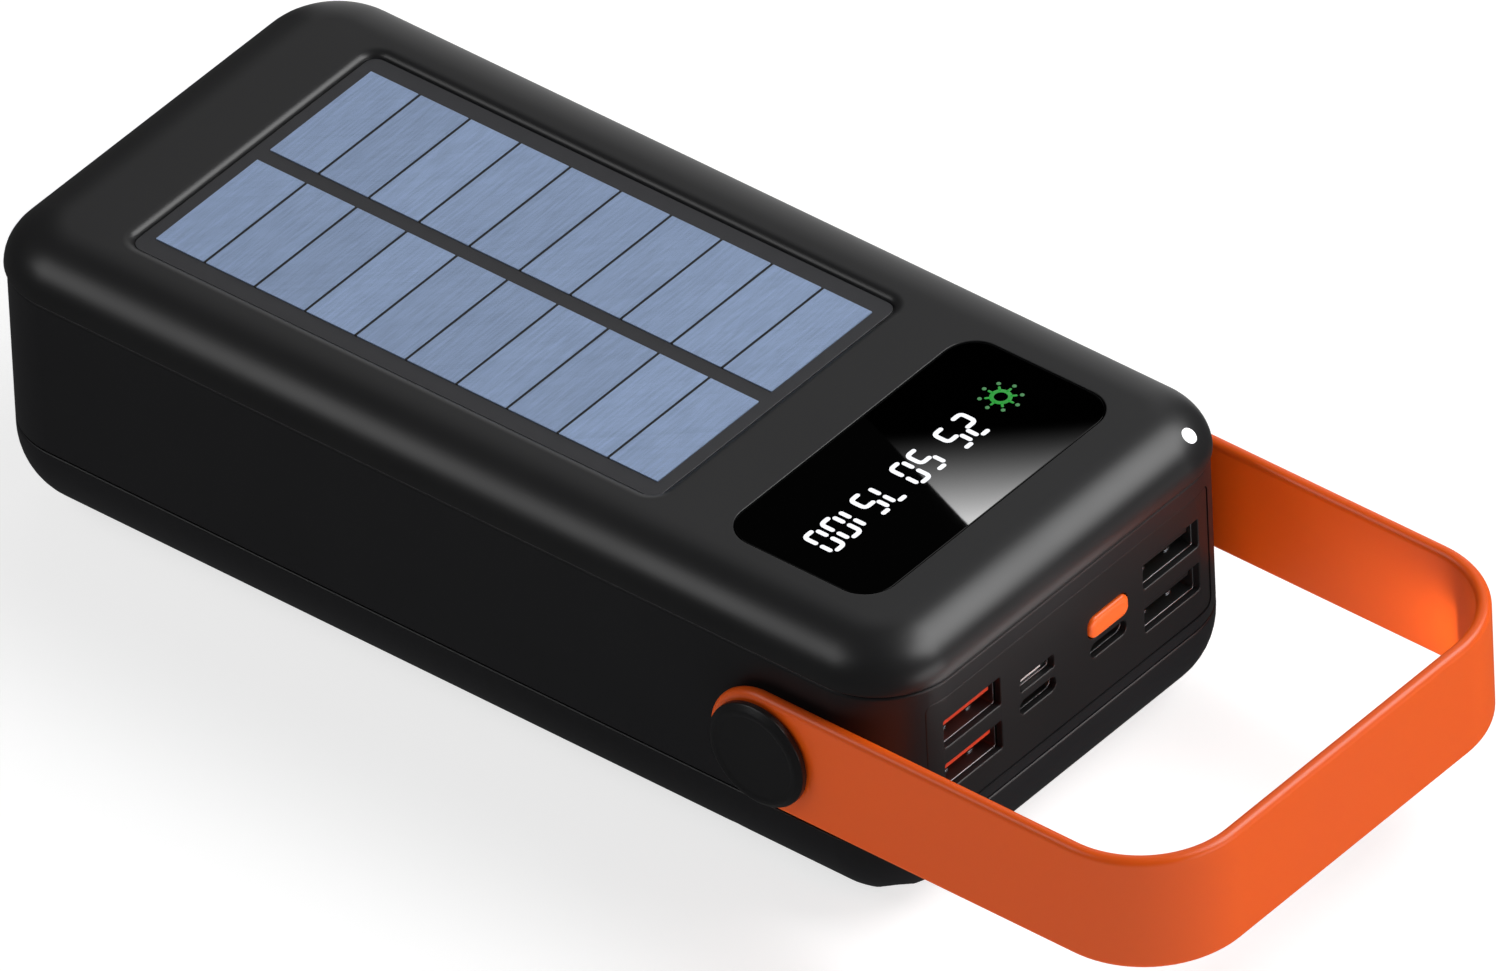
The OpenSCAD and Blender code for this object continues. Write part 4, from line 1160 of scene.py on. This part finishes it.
def set_sky():
    """A dark studio, so that only the lamps show in the gloss. The camera itself sees it as pale as the
    table, so no view has a horizon."""
    world = bpy.data.worlds.new("studio")
    world.use_nodes = True
    tree = world.node_tree
    tree.nodes.clear()
    seen = add(tree, "ShaderNodeLightPath").outputs["Is Camera Ray"]
    level = add(tree, "ShaderNodeMapRange", {"Value": seen, "To Min": SKY_LEVEL, "To Max": 1.0})
    sky = add(tree, "ShaderNodeBackground", {"Color": (1, 1, 1, 1), "Strength": level.outputs["Result"]})
    add(tree, "ShaderNodeOutputWorld", {"Surface": sky.outputs["Background"]})
    SCENE.world = world


def window_card():
    """A small bright card whose slanting edge is mirrored in the display window. Its corners are found by
    mirroring the line of sight to points of the window, and it hangs far off, so other shells hardly see it.
    It is brightest at the front end of its edge, and fades evenly from there."""
    distance = 3.5
    overrun = 3
    reach = 34.5
    edge_x = -6.5
    slant = 0.38
    fade_x = -4.5
    fade_slant = 0.93
    fade_length = 31
    fade_power = 2.2
    top = WINDOW.z
    camera_at = (VIEW_AIM + BACK * VIEW_DISTANCE) / MM
    towards = Vector((-BACK.x, -BACK.y, BACK.z))
    front, back = WINDOW_LOW.y - overrun, WINDOW.y + overrun
    near_x = edge_x + slant * (front - WINDOW_LOW.y)
    far_x = near_x + slant * (back - front)
    marks = [(near_x, front), (near_x + reach, front), (far_x + reach, back), (far_x, back)]

    def mirrored(mark):
        spot = Vector((mark[0], mark[1], top))
        sight = (spot - camera_at).normalized()
        ray = Vector((sight.x, sight.y, -sight.z))
        plane = Vector((0, (WINDOW.y + WINDOW_LOW.y) / 2, top)) + towards * distance / MM
        return (spot + ray * (plane - spot).dot(towards) / ray.dot(towards)) * MM

    material, tree, _ = start("card_lit")
    place = add(tree, "ShaderNodeTexCoord").outputs["UV"]
    faded = add(tree, "ShaderNodeSeparateXYZ", {"Vector": place}).outputs["X"]
    left = add(tree, "ShaderNodeMath", {0: 1.0, 1: faded}, operation="SUBTRACT", use_clamp=True)
    curve = add(tree, "ShaderNodeMath", {0: left.outputs["Value"], 1: fade_power}, operation="POWER")
    level = add(tree, "ShaderNodeMath", {0: curve.outputs["Value"], 1: CARD_LEVEL}, operation="MULTIPLY")
    glow = add(tree, "ShaderNodeEmission", {"Strength": level.outputs["Value"]})
    add(tree, "ShaderNodeOutputMaterial", {"Surface": glow.outputs["Emission"]})
    mesh = bpy.data.meshes.new("window_card")
    mesh.from_pydata([mirrored(m) for m in marks], [], [(0, 1, 2, 3)])
    layer = mesh.uv_layers.new(name="card")
    for loop, (x, y) in zip(layer.data, marks):
        loop.uv = ((x - fade_x + fade_slant * (y - WINDOW_LOW.y)) / fade_length, 0)
    mesh.materials.append(material)
    card = bpy.data.objects.new("window_card", mesh)
    card.visible_camera = False
    card.visible_diffuse = False
    card.visible_shadow = False
    SCENE.collection.objects.link(card)


set_camera()
set_floor()
set_sky()
# The key lights the lid and the handle, and the left one the frame. Two strips behind draw the lid's far
# edge, one brightens the port end, and a small one looks into the sockets.
softbox("key", (0.52, -0.42, 0.74), 1.1, (1.0, 0.6), 10.5)
softbox("left", (-0.55, 0.5, 0.67), 1.2, (0.7, 0.5), 2.6)
softbox("rim_low", (0.839, 0.545, 0.017), 1.6, (0.8, 2.16), 3.4)
softbox("rim_high", (0.507, 0.396, 0.766), 1.6, (0.8, 0.45), 0.6)
softbox("front", (0.15, -1.0, 0.08), 1.4, (1.0, 0.5), 4)
softbox("sockets", (0.0, -1.0, 0.0), 0.11, (0.07, 0.012), 0.009)
window_card()
SCENE.view_settings.view_transform = "Standard"
